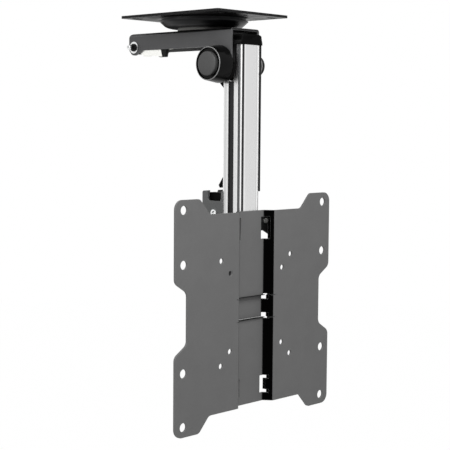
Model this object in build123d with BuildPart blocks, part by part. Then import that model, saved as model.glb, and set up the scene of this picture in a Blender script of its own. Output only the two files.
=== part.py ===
from build123d import *
import math
import os

# Folding ceiling mount for a flat television. The origin is the centre of the ceiling plate's
# top face, on the swivel axis. +X is to the right seen from the television side, -Y points from
# the column towards the television, and +Z is up. Sizes are in millimetres.

# Clearances between pieces
face_gap = 0.1  # between flat faces that turn on each other
running_gap = 0.05  # radial, a shaft that turns in its hole
bolt_gap = 0.1  # radial, a bolt in a clearance hole
side_gap = 0.4  # between the latch lever and the arm's walls
fit_gap = 0.2  # round a piece that slides into a hollow

# Ceiling plate
plate_width = 101.0
plate_length = 135.0
plate_sheet = 2.5
plate_corner_radius = 8.0
slot_spacing_x = 76.0
slot_spacing_y = 112.0
slot_width = 6.5
slot_length = 13.0
dish_mouth_radius = 43.0
dish_floor_radius = 33.0
dish_depth = 13.5
dish_mouth_bend = 4.0
dish_floor_bend = 8.0

# Swivel bolt and the washers it clamps
swivel_bolt_radius = 6.0
swivel_head_flats = 18.0
swivel_head_height = 7.0
swivel_washer_radius = 12.0
swivel_washer_thickness = 2.0
swivel_disc_radius = 26.0
swivel_disc_thickness = 2.4
slip_washer_radius = 14.0
slip_washer_thickness = 1.6
swivel_nut_height = 7.5
bolt_end_length = 0.8

# Arm, a folded channel that is open below
arm_width = 40.0
arm_sheet = 2.2
arm_height = 16.0
arm_bend_radius = 3.0
arm_near_reach = 56.0
latch_axis_reach = 80.0
latch_axis_drop = 10.7
arm_end_margin = 8.0
arm_end_corner_radius = 5.0
arm_web_setback = 5.0
lobe_slope_reach = 10.5

# Fold hinge between the arm and the column
pivot_setback = 15.5
pivot_drop = 14.5
pivot_bolt_radius = 5.0
pivot_head_flats = 16.0
pivot_head_height = 6.5
pivot_nut_height = 8.0
pivot_washer_radius = 10.0
pivot_washer_thickness = 1.5
disc_spring_thickness = 0.8
disc_spring_cone = 0.3
hinge_washer_radius = 13.0
hinge_washer_thickness = 1.2
bush_wall = 2.0
knuckle_radius = 16.8
cap_base_radius = 18.0
cap_face_radius = 16.2
cap_height = 15.0
cap_wall = 3.0
cap_roof = 4.0
cap_recess_radius = 11.6
cap_recess_depth = 1.7
cap_disc_thickness = 1.0
cap_edge_radius = 1.2

# Column, an aluminium profile
column_width = 28.0
column_depth = 22.8
column_back_offset = 0.5
column_corner_radius = 3.2
column_wall = 2.0
column_top_height = 16.5
column_bottom_height = 15.0
side_groove_opening = 7.0
side_groove_width = 9.5
side_groove_lip = 1.6
side_groove_depth = 4.0
side_groove_offset = 12.8
strip_rib_width = 4.2
strip_rib_recess = 0.9
line_groove_width = 0.8
line_groove_depth = 0.6
rear_slot_opening = 6.4
rear_slot_lip = 1.5
rear_slot_width = 11.0
rear_slot_depth = 3.4

# Hinge head on the column's top end
head_side_overhang = 1.5
head_front_overhang = 0.6
head_cap_height = 8.0
head_cap_corner_radius = 5.0
head_block_back = 6.5
head_tail_length = 23.2
cope_gap = 0.2
spigot_length = 55.0
head_screw_radius = 2.0
head_screw_head_radius = 3.0
head_screw_head_height = 2.2
head_screw_length = 8.0
head_screw_drop = 27.5
head_screw_spacing = 7.5
plug_thickness = 2.5
plug_length = 15.0

# Television plate, one folded sheet
vesa_sheet = 2.0
vesa_recess = 8.2
vesa_web_half_width = 19.0
vesa_wing_inner = 25.0
vesa_bend_radius = 1.5
vesa_drop = 236.5
ear_half_width = 111.0
ear_half_height = 109.5
ear_inner = 79.5
waist_half_width = 95.3
waist_half_height = 24.1
shoulder_half_height = 33.9
middle_half_height = 94.7
middle_half_width = 65.8
ear_corner_radius = 9.0
slope_radius = 6.0
waist_radius = 7.0
large_hole_radius = 4.3
small_hole_radius = 2.75
vesa_large = 200.0
vesa_middle = 100.0
vesa_small = 75.0
band_half_height = 11.3
band_slit = 0.5
band_depth = 2.5
relief_level = 9.5
relief_height = 5.5
relief_inner = 18.5
window_outer = 22.6
hook_window_inner = 14.5
hook_window_bottom = 66.5
hook_window_top = 88.3
tab_window_centre = 78.0
tab_window_height = 17.6
tab_height = 11.0
tab_inner = 20.4

# Head bracket behind the column
bracket_sheet = 1.5
bracket_reach = 26.4
bracket_top = 113.0
bracket_step = 91.0
bracket_bottom = 60.0
bracket_rear_bottom = 97.0
bracket_heel = 3.0
bracket_corner_radius = 2.0
notch_width = 18.1
notch_depth = 9.6
notch_corner_radius = 3.0
notch_margin = 1.2
web_relief_half_width = 6.0
web_relief_depth = 6.0
ear_flange_reach = 30.0
ear_flange_slope_start = 20.0
ear_flange_bottom = 69.5
ear_flange_inner_bottom = 74.5
ear_flange_top = 90.0
stud_radius = 1.6
stud_head_radius = 2.4
stud_head_height = 1.0
stud_reach = 23.0
stud_height = 84.0
clamp_depth = 17.0
clamp_bottom = 84.0
clamp_top = 102.0
clamp_screw_radius = 2.5
clamp_screw_head_radius = 4.2
clamp_screw_head_height = 4.0
clamp_screw_spacing = 9.6
bracket_screw_radius = 2.0
bracket_screw_head_radius = 3.5
bracket_screw_head_height = 2.2
bracket_screw_length = 8.5
bracket_screw_back = 9.5
bracket_screw_height = 91.6
slot_nut_length = 9.0
slot_nut_thickness = 2.6

# Latch lever inside the arm's far end, its pivots and spring
lever_sheet = 1.5
lever_hub_radius = 6.3
lever_pivot_radius = 3.0
lever_handle_reach = 40.5
lever_handle_bottom = 10.5
lever_neck_bottom = 7.4
lever_neck_reach = 5.5
lever_rise = 2.6
lever_bend_radius = 2.0
bridge_end_reach = 4.5
claw_half_width = 4.0
claw_reach = 3.6
claw_length = 5.0
claw_thickness = 1.9
claw_tip_height = 0.6
stop_tab_half_width = 5.0
stop_tab_reach = 21.0
grip_length = 9.2
grip_insert = 4.0
grip_wall = 3.0
grip_top = 4.4
grip_drop = 11.5
latch_washer_radius = 6.0
latch_washer_thickness = 1.0
latch_head_radius = 4.6
latch_head_height = 3.2
hex_socket_flats = 4.0
hex_socket_depth = 1.8
spring_reach = 32.0
spring_coil_radius = 2.4
spring_wire_radius = 0.4
spring_turns = 4
spring_turn_gap = 0.15
spring_hole_radius = 0.9
spring_foot = 1.6

# Catch on the column's back that the latch claw holds
catch_half_width = 3.0
catch_foot_half_width = 5.5
catch_foot_thickness = 2.5
catch_run_in = 14.0
catch_ramp_length = 20.0
catch_lip_height = 16.3
catch_lip_thickness = 2.0
catch_lip_slope = 2.6
catch_lip_edge = 0.5
catch_hold = 1.7
catch_undercut = 2.4
claw_seat_gap = 0.3
catch_screw_radius = 2.0
catch_screw_head_radius = 3.4
catch_screw_head_height = 1.8
catch_screw_inset = 6.0

# Levels and axes worked out from the sizes above
dish_floor_z = -plate_sheet - dish_depth
disc_top_z = dish_floor_z - face_gap
arm_top_z = disc_top_z - swivel_disc_thickness
arm_inner_z = arm_top_z - arm_sheet
arm_bottom_z = arm_top_z - arm_height
arm_inner_half = arm_width / 2 - arm_sheet
arm_near_y = -arm_near_reach
latch_y = latch_axis_reach
latch_z = arm_top_z - latch_axis_drop
arm_far_y = latch_y + arm_end_margin
pivot_y = arm_near_y + pivot_setback
pivot_z = arm_bottom_z - pivot_drop
column_back_y = pivot_y - column_back_offset
column_front_y = column_back_y - column_depth
column_top_z = pivot_z + column_top_height
vesa_back_y = column_front_y
web_front_y = vesa_back_y - vesa_sheet
vesa_front_y = web_front_y - vesa_recess
vesa_z = pivot_z - vesa_drop
column_bottom_z = vesa_z + column_bottom_height


def side_plane(x):
    """YZ plane at x: its own x runs along +Y, its own y along +Z, and it faces +X."""
    return Plane(origin=(x, 0, 0), x_dir=(0, 1, 0), z_dir=(1, 0, 0))


def back_plane(y):
    """XZ plane at y: its own x runs along -X, its own y along +Z, and it faces +Y."""
    return Plane(origin=(0, y, 0), x_dir=(-1, 0, 0), z_dir=(0, 1, 0))


def front_plane(y):
    """XZ plane at y: its own x runs along +X, its own y along +Z, and it faces -Y."""
    return Plane(origin=(0, y, 0), x_dir=(1, 0, 0), z_dir=(0, -1, 0))


def write(part, name):
    """Label a finished piece and write its STEP file."""
    part.label = name
    export_step(part, f"parts/{name}.step")


os.makedirs("parts", exist_ok=True)

# Ceiling plate: a flat sheet with a pressed dish round the swivel bolt
dish_angle = math.atan2(dish_depth, dish_mouth_radius - dish_floor_radius)
dish_shift = plate_sheet * math.tan(dish_angle / 2)
swivel_bore_radius = swivel_bolt_radius + bolt_gap
dish_rim = dish_mouth_radius + dish_mouth_bend + plate_sheet
with BuildPart() as ceiling_plate:
    with BuildSketch(Plane.XY.offset(-plate_sheet)):
        RectangleRounded(plate_width, plate_length, plate_corner_radius)
        Circle(dish_rim, mode=Mode.SUBTRACT)
        with GridLocations(slot_spacing_x, slot_spacing_y, 2, 2):
            SlotOverall(slot_length, slot_width, mode=Mode.SUBTRACT)
        with GridLocations(0, slot_spacing_y, 1, 2):
            Circle(slot_width / 2, mode=Mode.SUBTRACT)
    extrude(amount=plate_sheet)
    with BuildSketch(Plane.XZ):
        with BuildLine():
            under = FilletPolyline(
                (dish_rim, -plate_sheet),
                (dish_mouth_radius, -plate_sheet),
                (dish_floor_radius, dish_floor_z),
                (swivel_bore_radius, dish_floor_z),
                radius=[dish_mouth_bend, dish_floor_bend],
            )
            over = FilletPolyline(
                (dish_rim, 0),
                (dish_mouth_radius - dish_shift, 0),
                (dish_floor_radius - dish_shift, dish_floor_z + plate_sheet),
                (swivel_bore_radius, dish_floor_z + plate_sheet),
                radius=[dish_mouth_bend + plate_sheet, dish_floor_bend - plate_sheet],
            )
            Line(under @ 0, over @ 0)
            Line(under @ 1, over @ 1)
        make_face()
    revolve(axis=Axis.Z)
write(ceiling_plate.part, "ceiling_plate")

# Swivel stack: bolt head and washer in the dish, disc under it, washers and nut in the arm
dish_top_z = dish_floor_z + plate_sheet
head_seat_z = dish_top_z + swivel_washer_thickness
nut_washer_top_z = arm_inner_z - slip_washer_thickness - face_gap
nut_top_z = nut_washer_top_z - swivel_washer_thickness
nut_bottom_z = nut_top_z - swivel_nut_height
swivel_run_radius = swivel_bolt_radius + running_gap

with BuildPart() as swivel_head_washer:
    with BuildSketch(Plane.XY.offset(dish_top_z)):
        Circle(swivel_washer_radius)
        Circle(swivel_bore_radius, mode=Mode.SUBTRACT)
    extrude(amount=swivel_washer_thickness)
write(swivel_head_washer.part, "swivel_head_washer")

with BuildPart() as swivel_bolt:
    with BuildSketch(Plane.XY.offset(head_seat_z)):
        RegularPolygon(radius=swivel_head_flats / 2, side_count=6, major_radius=False)
    extrude(amount=swivel_head_height)
    with BuildSketch(Plane.XY.offset(nut_bottom_z - bolt_end_length)):
        Circle(swivel_bolt_radius)
    extrude(amount=head_seat_z - nut_bottom_z + bolt_end_length)
    chamfer(swivel_bolt.faces().sort_by(Axis.Z)[0].edges(), bolt_end_length / 2)
write(swivel_bolt.part, "swivel_bolt")

with BuildPart() as swivel_disc:
    with BuildSketch(Plane.XY.offset(arm_top_z)):
        Circle(swivel_disc_radius)
        Circle(swivel_run_radius, mode=Mode.SUBTRACT)
    extrude(amount=swivel_disc_thickness)
write(swivel_disc.part, "swivel_disc")

with BuildPart() as swivel_slip_washer:
    with BuildSketch(Plane.XY.offset(arm_inner_z - slip_washer_thickness)):
        Circle(slip_washer_radius)
        Circle(swivel_run_radius, mode=Mode.SUBTRACT)
    extrude(amount=slip_washer_thickness)
write(swivel_slip_washer.part, "swivel_slip_washer")

with BuildPart() as swivel_nut_washer:
    with BuildSketch(Plane.XY.offset(nut_top_z)):
        Circle(swivel_washer_radius)
        Circle(swivel_bore_radius, mode=Mode.SUBTRACT)
    extrude(amount=swivel_washer_thickness)
write(swivel_nut_washer.part, "swivel_nut_washer")

with BuildPart() as swivel_nut:
    with BuildSketch(Plane.XY.offset(nut_bottom_z)):
        RegularPolygon(radius=swivel_head_flats / 2, side_count=6, major_radius=False)
        Circle(swivel_bolt_radius, mode=Mode.SUBTRACT)
    extrude(amount=swivel_nut_height)
write(swivel_nut.part, "swivel_nut")

# Arm: a U section run along Y, trimmed to its side outline, then drilled
lug_bottom_z = pivot_z - pivot_setback
lug_back_y = pivot_y + pivot_setback
spring_y = latch_y - spring_reach
lobe_drop = latch_z - arm_bottom_z
lobe_distance = math.hypot(lobe_slope_reach, lobe_drop)
lobe_angle = math.atan2(lobe_drop, lobe_slope_reach) - math.asin(arm_end_margin / lobe_distance)
lobe_tangent = math.sqrt(lobe_distance**2 - arm_end_margin**2)
lobe_y = latch_y - lobe_slope_reach + lobe_tangent * math.cos(lobe_angle)
lobe_z = arm_bottom_z + lobe_tangent * math.sin(lobe_angle)
with BuildPart() as arm_channel:
    with BuildSketch(front_plane(arm_far_y)):
        with BuildLine():
            shell = FilletPolyline(
                (-arm_width / 2, lug_bottom_z),
                (-arm_width / 2, arm_top_z),
                (arm_width / 2, arm_top_z),
                (arm_width / 2, lug_bottom_z),
                radius=arm_bend_radius,
            )
            hollow = FilletPolyline(
                (-arm_inner_half, lug_bottom_z),
                (-arm_inner_half, arm_inner_z),
                (arm_inner_half, arm_inner_z),
                (arm_inner_half, lug_bottom_z),
                radius=arm_bend_radius - arm_sheet,
            )
            Line(shell @ 0, hollow @ 0)
            Line(shell @ 1, hollow @ 1)
        make_face()
    extrude(amount=arm_far_y - arm_near_y)
    with BuildSketch(side_plane(-arm_width / 2)) as arm_outline:
        with BuildLine():
            Polyline(
                (arm_near_y, pivot_z),
                (arm_near_y, arm_top_z),
                (arm_far_y, arm_top_z),
                (arm_far_y, latch_z),
                (latch_y, latch_z),
                (lobe_y, lobe_z),
                (latch_y - lobe_slope_reach, arm_bottom_z),
                (lug_back_y, arm_bottom_z),
                (lug_back_y, pivot_z),
                close=True,
            )
        make_face()
        fillet(arm_outline.vertices().sort_by(lambda v: v.X + v.Y)[-1], arm_end_corner_radius)
        with Locations((pivot_y, pivot_z)):
            Circle(pivot_setback)
        with Locations((latch_y, latch_z)):
            Circle(arm_end_margin)
    extrude(amount=arm_width, mode=Mode.INTERSECT)
    with BuildSketch(Plane.XY.offset(arm_inner_z)):
        with Locations((0, arm_far_y - arm_web_setback / 2)):
            Rectangle(2 * arm_inner_half, arm_web_setback)
        Circle(swivel_run_radius)
        with Locations((0, spring_y)):
            Circle(spring_hole_radius)
    extrude(amount=arm_sheet, mode=Mode.SUBTRACT)
    with BuildSketch(side_plane(-arm_width / 2)):
        with Locations((pivot_y, pivot_z)):
            Circle(pivot_bolt_radius + bolt_gap)
        with Locations((latch_y, latch_z)):
            Circle(lever_pivot_radius + bolt_gap)
    extrude(amount=arm_width, mode=Mode.SUBTRACT)
write(arm_channel.part, "arm_channel")

# Fold pivot: bolt, nut, washers and disc springs outside the arm's walls
wall_x = arm_width / 2
washer_x = wall_x + pivot_washer_thickness
spring_edge_x = disc_spring_thickness + disc_spring_cone
bolt_head_x = washer_x + 2 * spring_edge_x
bolt_tip_x = washer_x + pivot_nut_height + bolt_end_length
pivot_bore_radius = pivot_bolt_radius + bolt_gap
pivot_line = Axis((0, pivot_y, pivot_z), (1, 0, 0))

with BuildPart() as pivot_bolt:
    with BuildSketch(side_plane(-bolt_head_x - pivot_head_height)):
        with Locations((pivot_y, pivot_z)):
            RegularPolygon(radius=pivot_head_flats / 2, side_count=6, major_radius=False)
    extrude(amount=pivot_head_height)
    with BuildSketch(side_plane(-bolt_head_x)):
        with Locations((pivot_y, pivot_z)):
            Circle(pivot_bolt_radius)
    extrude(amount=bolt_head_x + bolt_tip_x)
    chamfer(pivot_bolt.faces().sort_by(Axis.X)[-1].edges(), bolt_end_length / 2)
write(pivot_bolt.part, "pivot_bolt")

with BuildPart() as pivot_nut:
    with BuildSketch(side_plane(washer_x)):
        with Locations((pivot_y, pivot_z)):
            RegularPolygon(radius=pivot_head_flats / 2, side_count=6, major_radius=False)
            Circle(pivot_bolt_radius, mode=Mode.SUBTRACT)
    extrude(amount=pivot_nut_height)
write(pivot_nut.part, "pivot_nut")

with BuildPart() as pivot_washers:
    with BuildSketch(side_plane(wall_x), side_plane(-washer_x)):
        with Locations((pivot_y, pivot_z)):
            Circle(pivot_washer_radius)
            Circle(pivot_bore_radius, mode=Mode.SUBTRACT)
    extrude(amount=pivot_washer_thickness)
write(pivot_washers.part, "pivot_washers")

with BuildPart() as pivot_disc_springs:
    for start_x, lean in ((-bolt_head_x, 1), (-washer_x, -1)):
        with BuildSketch(Plane(origin=(start_x, pivot_y, pivot_z), x_dir=(1, 0, 0), z_dir=(0, 0, 1))):
            with BuildLine():
                Polyline(
                    (0, pivot_bore_radius),
                    (lean * disc_spring_thickness, pivot_bore_radius),
                    (lean * spring_edge_x, pivot_washer_radius),
                    (lean * disc_spring_cone, pivot_washer_radius),
                    close=True,
                )
            make_face()
        revolve(axis=pivot_line)
write(pivot_disc_springs.part, "pivot_disc_springs")

hinge_washer_x = arm_inner_half - hinge_washer_thickness
with BuildPart() as hinge_washers:
    with BuildSketch(side_plane(hinge_washer_x), side_plane(-arm_inner_half)):
        with Locations((pivot_y, pivot_z)):
            Circle(hinge_washer_radius)
            Circle(pivot_bore_radius, mode=Mode.SUBTRACT)
    extrude(amount=hinge_washer_thickness)
write(hinge_washers.part, "hinge_washers")

# Hinge caps: hollow cups over the bolt's head and nut, with a disc let into each face
cap_face_x = wall_x + cap_height
cap_roof_x = cap_face_x - cap_roof
cap_seat_x = cap_face_x - cap_recess_depth


def hinge_cap(side):
    """Cup over the pivot on the given side of the arm."""
    axis_plane = Plane(origin=(0, pivot_y, pivot_z), x_dir=(side, 0, 0), z_dir=(0, 0, side))
    with BuildPart(mode=Mode.PRIVATE) as cup:
        with BuildSketch(axis_plane) as cup_section:
            with BuildLine():
                Polyline(
                    (cap_roof_x, 0),
                    (cap_roof_x, cap_face_radius - cap_wall),
                    (wall_x, cap_base_radius - cap_wall),
                    (wall_x, cap_base_radius),
                    (cap_face_x, cap_face_radius),
                    (cap_face_x, cap_recess_radius),
                    (cap_seat_x, cap_recess_radius),
                    (cap_seat_x, 0),
                    close=True,
                )
            make_face()
            fillet(cup_section.vertices().sort_by(lambda v: v.X + v.Y)[-1], cap_edge_radius)
        revolve(axis=pivot_line)
    return cup.part


def cap_disc(side):
    """Flat disc in the recess of the hinge cap on the given side."""
    with BuildPart(mode=Mode.PRIVATE) as disc:
        with BuildSketch(side_plane(side * cap_seat_x)):
            with Locations((pivot_y, pivot_z)):
                Circle(cap_recess_radius - bolt_gap)
        extrude(amount=side * cap_disc_thickness)
    return disc.part


write(hinge_cap(-1), "hinge_cap_left")
write(hinge_cap(1), "hinge_cap_right")
write(cap_disc(-1), "cap_disc_left")
write(cap_disc(1), "cap_disc_right")

# Column: profile with two side grooves, a rear slot and two fine lines on each front corner
column_half = column_width / 2
groove_y = column_front_y + side_groove_offset
groove_floor_x = column_half - side_groove_depth
groove_foot_depth = side_groove_depth - side_groove_lip
cavity_half = groove_floor_x - column_wall
cavity_front_y = column_front_y + column_wall
slot_floor_y = column_back_y - rear_slot_lip - rear_slot_depth
cavity_back_y = slot_floor_y - column_wall
cavity_y = (cavity_front_y + cavity_back_y) / 2
cavity_depth = cavity_back_y - cavity_front_y
line_x = column_half - column_corner_radius
line_y = column_front_y + column_corner_radius
cope_radius = knuckle_radius + cope_gap
head_screw_z = pivot_z - head_screw_drop - head_screw_spacing / 2
with BuildPart() as column_extrusion:
    with BuildSketch(Plane.XY.offset(column_bottom_z)) as column_section:
        with Locations((0, column_back_y - column_depth / 2)):
            Rectangle(column_width, column_depth)
        fillet(column_section.vertices().group_by(Axis.Y)[0], column_corner_radius)
        with Locations((0, cavity_y)):
            Rectangle(2 * cavity_half, cavity_depth, mode=Mode.SUBTRACT)
        for side in (-1, 1):
            with Locations((side * (column_half - side_groove_lip / 2), groove_y)):
                Rectangle(side_groove_lip, side_groove_opening, mode=Mode.SUBTRACT)
            with Locations((side * (groove_floor_x + groove_foot_depth / 2), groove_y)):
                Rectangle(groove_foot_depth, side_groove_width, mode=Mode.SUBTRACT)
            with Locations((side * line_x, column_front_y + line_groove_depth / 2)):
                Rectangle(line_groove_width, line_groove_depth, mode=Mode.SUBTRACT)
            with Locations((side * (column_half - line_groove_depth / 2), line_y)):
                Rectangle(line_groove_depth, line_groove_width, mode=Mode.SUBTRACT)
        with Locations((0, column_back_y - rear_slot_lip / 2)):
            Rectangle(rear_slot_opening, rear_slot_lip, mode=Mode.SUBTRACT)
        with Locations((0, slot_floor_y + rear_slot_depth / 2)):
            Rectangle(rear_slot_width, rear_slot_depth, mode=Mode.SUBTRACT)
    extrude(amount=column_top_z - column_bottom_z)
    with BuildSketch(side_plane(-column_half)):
        with Locations((pivot_y, pivot_z)):
            Circle(cope_radius)
        with Locations((pivot_y, pivot_z + column_top_height / 2)):
            Rectangle(2 * cope_radius, column_top_height)
    extrude(amount=column_width, mode=Mode.SUBTRACT)
    with BuildSketch(back_plane(cavity_back_y)):
        with Locations((0, head_screw_z)):
            with GridLocations(0, head_screw_spacing, 1, 2):
                Circle(head_screw_radius + bolt_gap)
    extrude(amount=column_wall, mode=Mode.SUBTRACT)
write(column_extrusion.part, "column_extrusion")


def groove_strip(side):
    """Ribbed cover strip in the column's side groove, from the cope down to the bottom end."""
    rib_depth = side_groove_lip - strip_rib_recess
    with BuildPart(mode=Mode.PRIVATE) as strip:
        with BuildSketch(Plane.XY.offset(column_bottom_z)):
            with Locations((side * (groove_floor_x + groove_foot_depth / 2), groove_y)):
                Rectangle(groove_foot_depth, side_groove_width)
            with Locations((side * (groove_floor_x + groove_foot_depth + rib_depth / 2), groove_y)):
                Rectangle(rib_depth, strip_rib_width)
        extrude(amount=pivot_z - cope_radius - column_bottom_z)
    return strip.part


write(groove_strip(-1), "groove_strip_left")
write(groove_strip(1), "groove_strip_right")

# Hinge head: knuckle, block and cap cast in one with a spigot and a tail behind the column
knuckle_half = arm_inner_half - hinge_washer_thickness - face_gap
head_half = column_half + head_side_overhang
head_front_y = column_front_y - head_front_overhang
head_top_z = column_top_z + head_cap_height
block_back_y = pivot_y + head_block_back
block_front_y = pivot_y - knuckle_radius
tail_angle = math.acos(knuckle_radius / head_tail_length) - math.pi / 2
tail_y = pivot_y + knuckle_radius * math.cos(tail_angle)
tail_z = pivot_z + knuckle_radius * math.sin(tail_angle)
bush_radius = pivot_bolt_radius + running_gap + bush_wall
with BuildPart() as hinge_head:
    with BuildSketch(side_plane(-head_half)):
        with BuildLine():
            Polyline(
                (head_front_y, column_top_z),
                (head_front_y, head_top_z),
                (block_back_y, head_top_z),
                (block_back_y, pivot_z),
                (block_front_y, pivot_z),
                (block_front_y, column_top_z),
                close=True,
            )
        make_face()
    extrude(amount=2 * head_half)
    top_edges = hinge_head.faces().sort_by(Axis.Z)[-1].edges().filter_by(Axis.Y)
    fillet(top_edges, head_cap_corner_radius)
    with BuildSketch(side_plane(-knuckle_half)):
        with Locations((pivot_y, pivot_z)):
            Circle(knuckle_radius)
    extrude(amount=2 * knuckle_half)
    with BuildSketch(side_plane(-column_half)):
        with BuildLine():
            Polyline(
                (column_back_y, pivot_z - head_tail_length),
                (tail_y, tail_z),
                (pivot_y, pivot_z),
                (column_back_y, pivot_z),
                close=True,
            )
        make_face()
    extrude(amount=column_width)
    with BuildSketch(Plane.XY.offset(column_top_z - spigot_length)):
        with Locations((0, cavity_y)):
            Rectangle(2 * (cavity_half - fit_gap), cavity_depth - 2 * fit_gap)
    extrude(amount=spigot_length)
    with BuildSketch(side_plane(-knuckle_half)):
        with Locations((pivot_y, pivot_z)):
            Circle(bush_radius)
    extrude(amount=2 * knuckle_half, mode=Mode.SUBTRACT)
    with BuildSketch(back_plane(cavity_back_y)):
        with Locations((0, head_screw_z)):
            with GridLocations(0, head_screw_spacing, 1, 2):
                Circle(head_screw_radius)
    extrude(amount=column_wall - head_screw_length, mode=Mode.SUBTRACT)
write(hinge_head.part, "hinge_head")

with BuildPart() as hinge_bush:
    with BuildSketch(side_plane(-knuckle_half)):
        with Locations((pivot_y, pivot_z)):
            Circle(bush_radius)
            Circle(pivot_bolt_radius + running_gap, mode=Mode.SUBTRACT)
    extrude(amount=2 * knuckle_half)
write(hinge_bush.part, "hinge_bush")

with BuildPart() as head_screws:
    with BuildSketch(back_plane(slot_floor_y)):
        with Locations((0, head_screw_z)):
            with GridLocations(0, head_screw_spacing, 1, 2):
                Circle(head_screw_head_radius)
    extrude(amount=head_screw_head_height)
    with BuildSketch(back_plane(slot_floor_y)):
        with Locations((0, head_screw_z)):
            with GridLocations(0, head_screw_spacing, 1, 2):
                Circle(head_screw_radius)
    extrude(amount=-head_screw_length)
write(head_screws.part, "head_screws")

# Plug in the column's lower end
with BuildPart() as column_end_plug:
    with BuildSketch(Plane.XY.offset(column_bottom_z - plug_thickness)) as plug_flange:
        with Locations((0, column_back_y - column_depth / 2)):
            Rectangle(column_width, column_depth)
        fillet(plug_flange.vertices().group_by(Axis.Y)[0], column_corner_radius)
    extrude(amount=plug_thickness)
    with BuildSketch(Plane.XY.offset(column_bottom_z)):
        with Locations((0, cavity_y)):
            Rectangle(2 * (cavity_half - fit_gap), cavity_depth - 2 * fit_gap)
    extrude(amount=plug_length)
write(column_end_plug.part, "column_end_plug")

# Catch: a foot screwed on the column's back with a sloped fin that ends in a lip
claw_tip_y = latch_y + claw_reach - claw_length
catch_end_z = pivot_z - (claw_tip_y - pivot_y + catch_hold)
catch_stem_z = catch_end_z + catch_undercut
catch_ramp_z = catch_stem_z + catch_ramp_length
catch_top_z = catch_ramp_z + catch_run_in
lip_y = column_back_y + catch_lip_height
foot_y = column_back_y + catch_foot_thickness
catch_screw_z = catch_top_z - catch_screw_inset
nut_face_y = column_back_y - rear_slot_lip
nut_end_y = nut_face_y - slot_nut_thickness
with BuildPart() as catch_hook:
    with BuildSketch(back_plane(column_back_y)):
        with Locations((0, (catch_top_z + catch_stem_z) / 2)):
            Rectangle(2 * catch_foot_half_width, catch_top_z - catch_stem_z)
    extrude(amount=catch_foot_thickness)
    with BuildSketch(side_plane(-catch_half_width)):
        with BuildLine():
            Polyline(
                (column_back_y, catch_ramp_z),
                (foot_y, catch_ramp_z),
                (lip_y, catch_end_z + catch_lip_slope),
                (lip_y - catch_lip_thickness + catch_lip_edge, catch_end_z),
                (lip_y - catch_lip_thickness, catch_end_z),
                (lip_y - catch_lip_thickness, catch_stem_z),
                (column_back_y, catch_stem_z),
                close=True,
            )
        make_face()
    extrude(amount=2 * catch_half_width)
    with BuildSketch(back_plane(column_back_y)):
        with Locations((0, catch_screw_z)):
            Circle(catch_screw_radius + bolt_gap)
    extrude(amount=catch_foot_thickness, mode=Mode.SUBTRACT)
write(catch_hook.part, "catch_hook")

with BuildPart() as catch_screw:
    with BuildSketch(back_plane(foot_y)):
        with Locations((0, catch_screw_z)):
            Circle(catch_screw_head_radius)
    extrude(amount=catch_screw_head_height)
    with BuildSketch(back_plane(nut_end_y)):
        with Locations((0, catch_screw_z)):
            Circle(catch_screw_radius)
    extrude(amount=foot_y - nut_end_y)
write(catch_screw.part, "catch_screw")

# Nuts in the column's rear slot for the catch and clamp screws
clamp_y = column_back_y + clamp_depth
clamp_mid_z = vesa_z + (clamp_bottom + clamp_top) / 2
with BuildPart() as slot_nuts:
    with BuildSketch(back_plane(nut_end_y)):
        with Locations((0, catch_screw_z)):
            Rectangle(rear_slot_width - fit_gap, slot_nut_length)
            Circle(catch_screw_radius, mode=Mode.SUBTRACT)
        with Locations((0, clamp_mid_z)):
            with GridLocations(0, clamp_screw_spacing, 1, 2):
                Rectangle(rear_slot_width - fit_gap, slot_nut_length)
                Circle(clamp_screw_radius, mode=Mode.SUBTRACT)
    extrude(amount=slot_nut_thickness)
write(slot_nuts.part, "slot_nuts")

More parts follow.
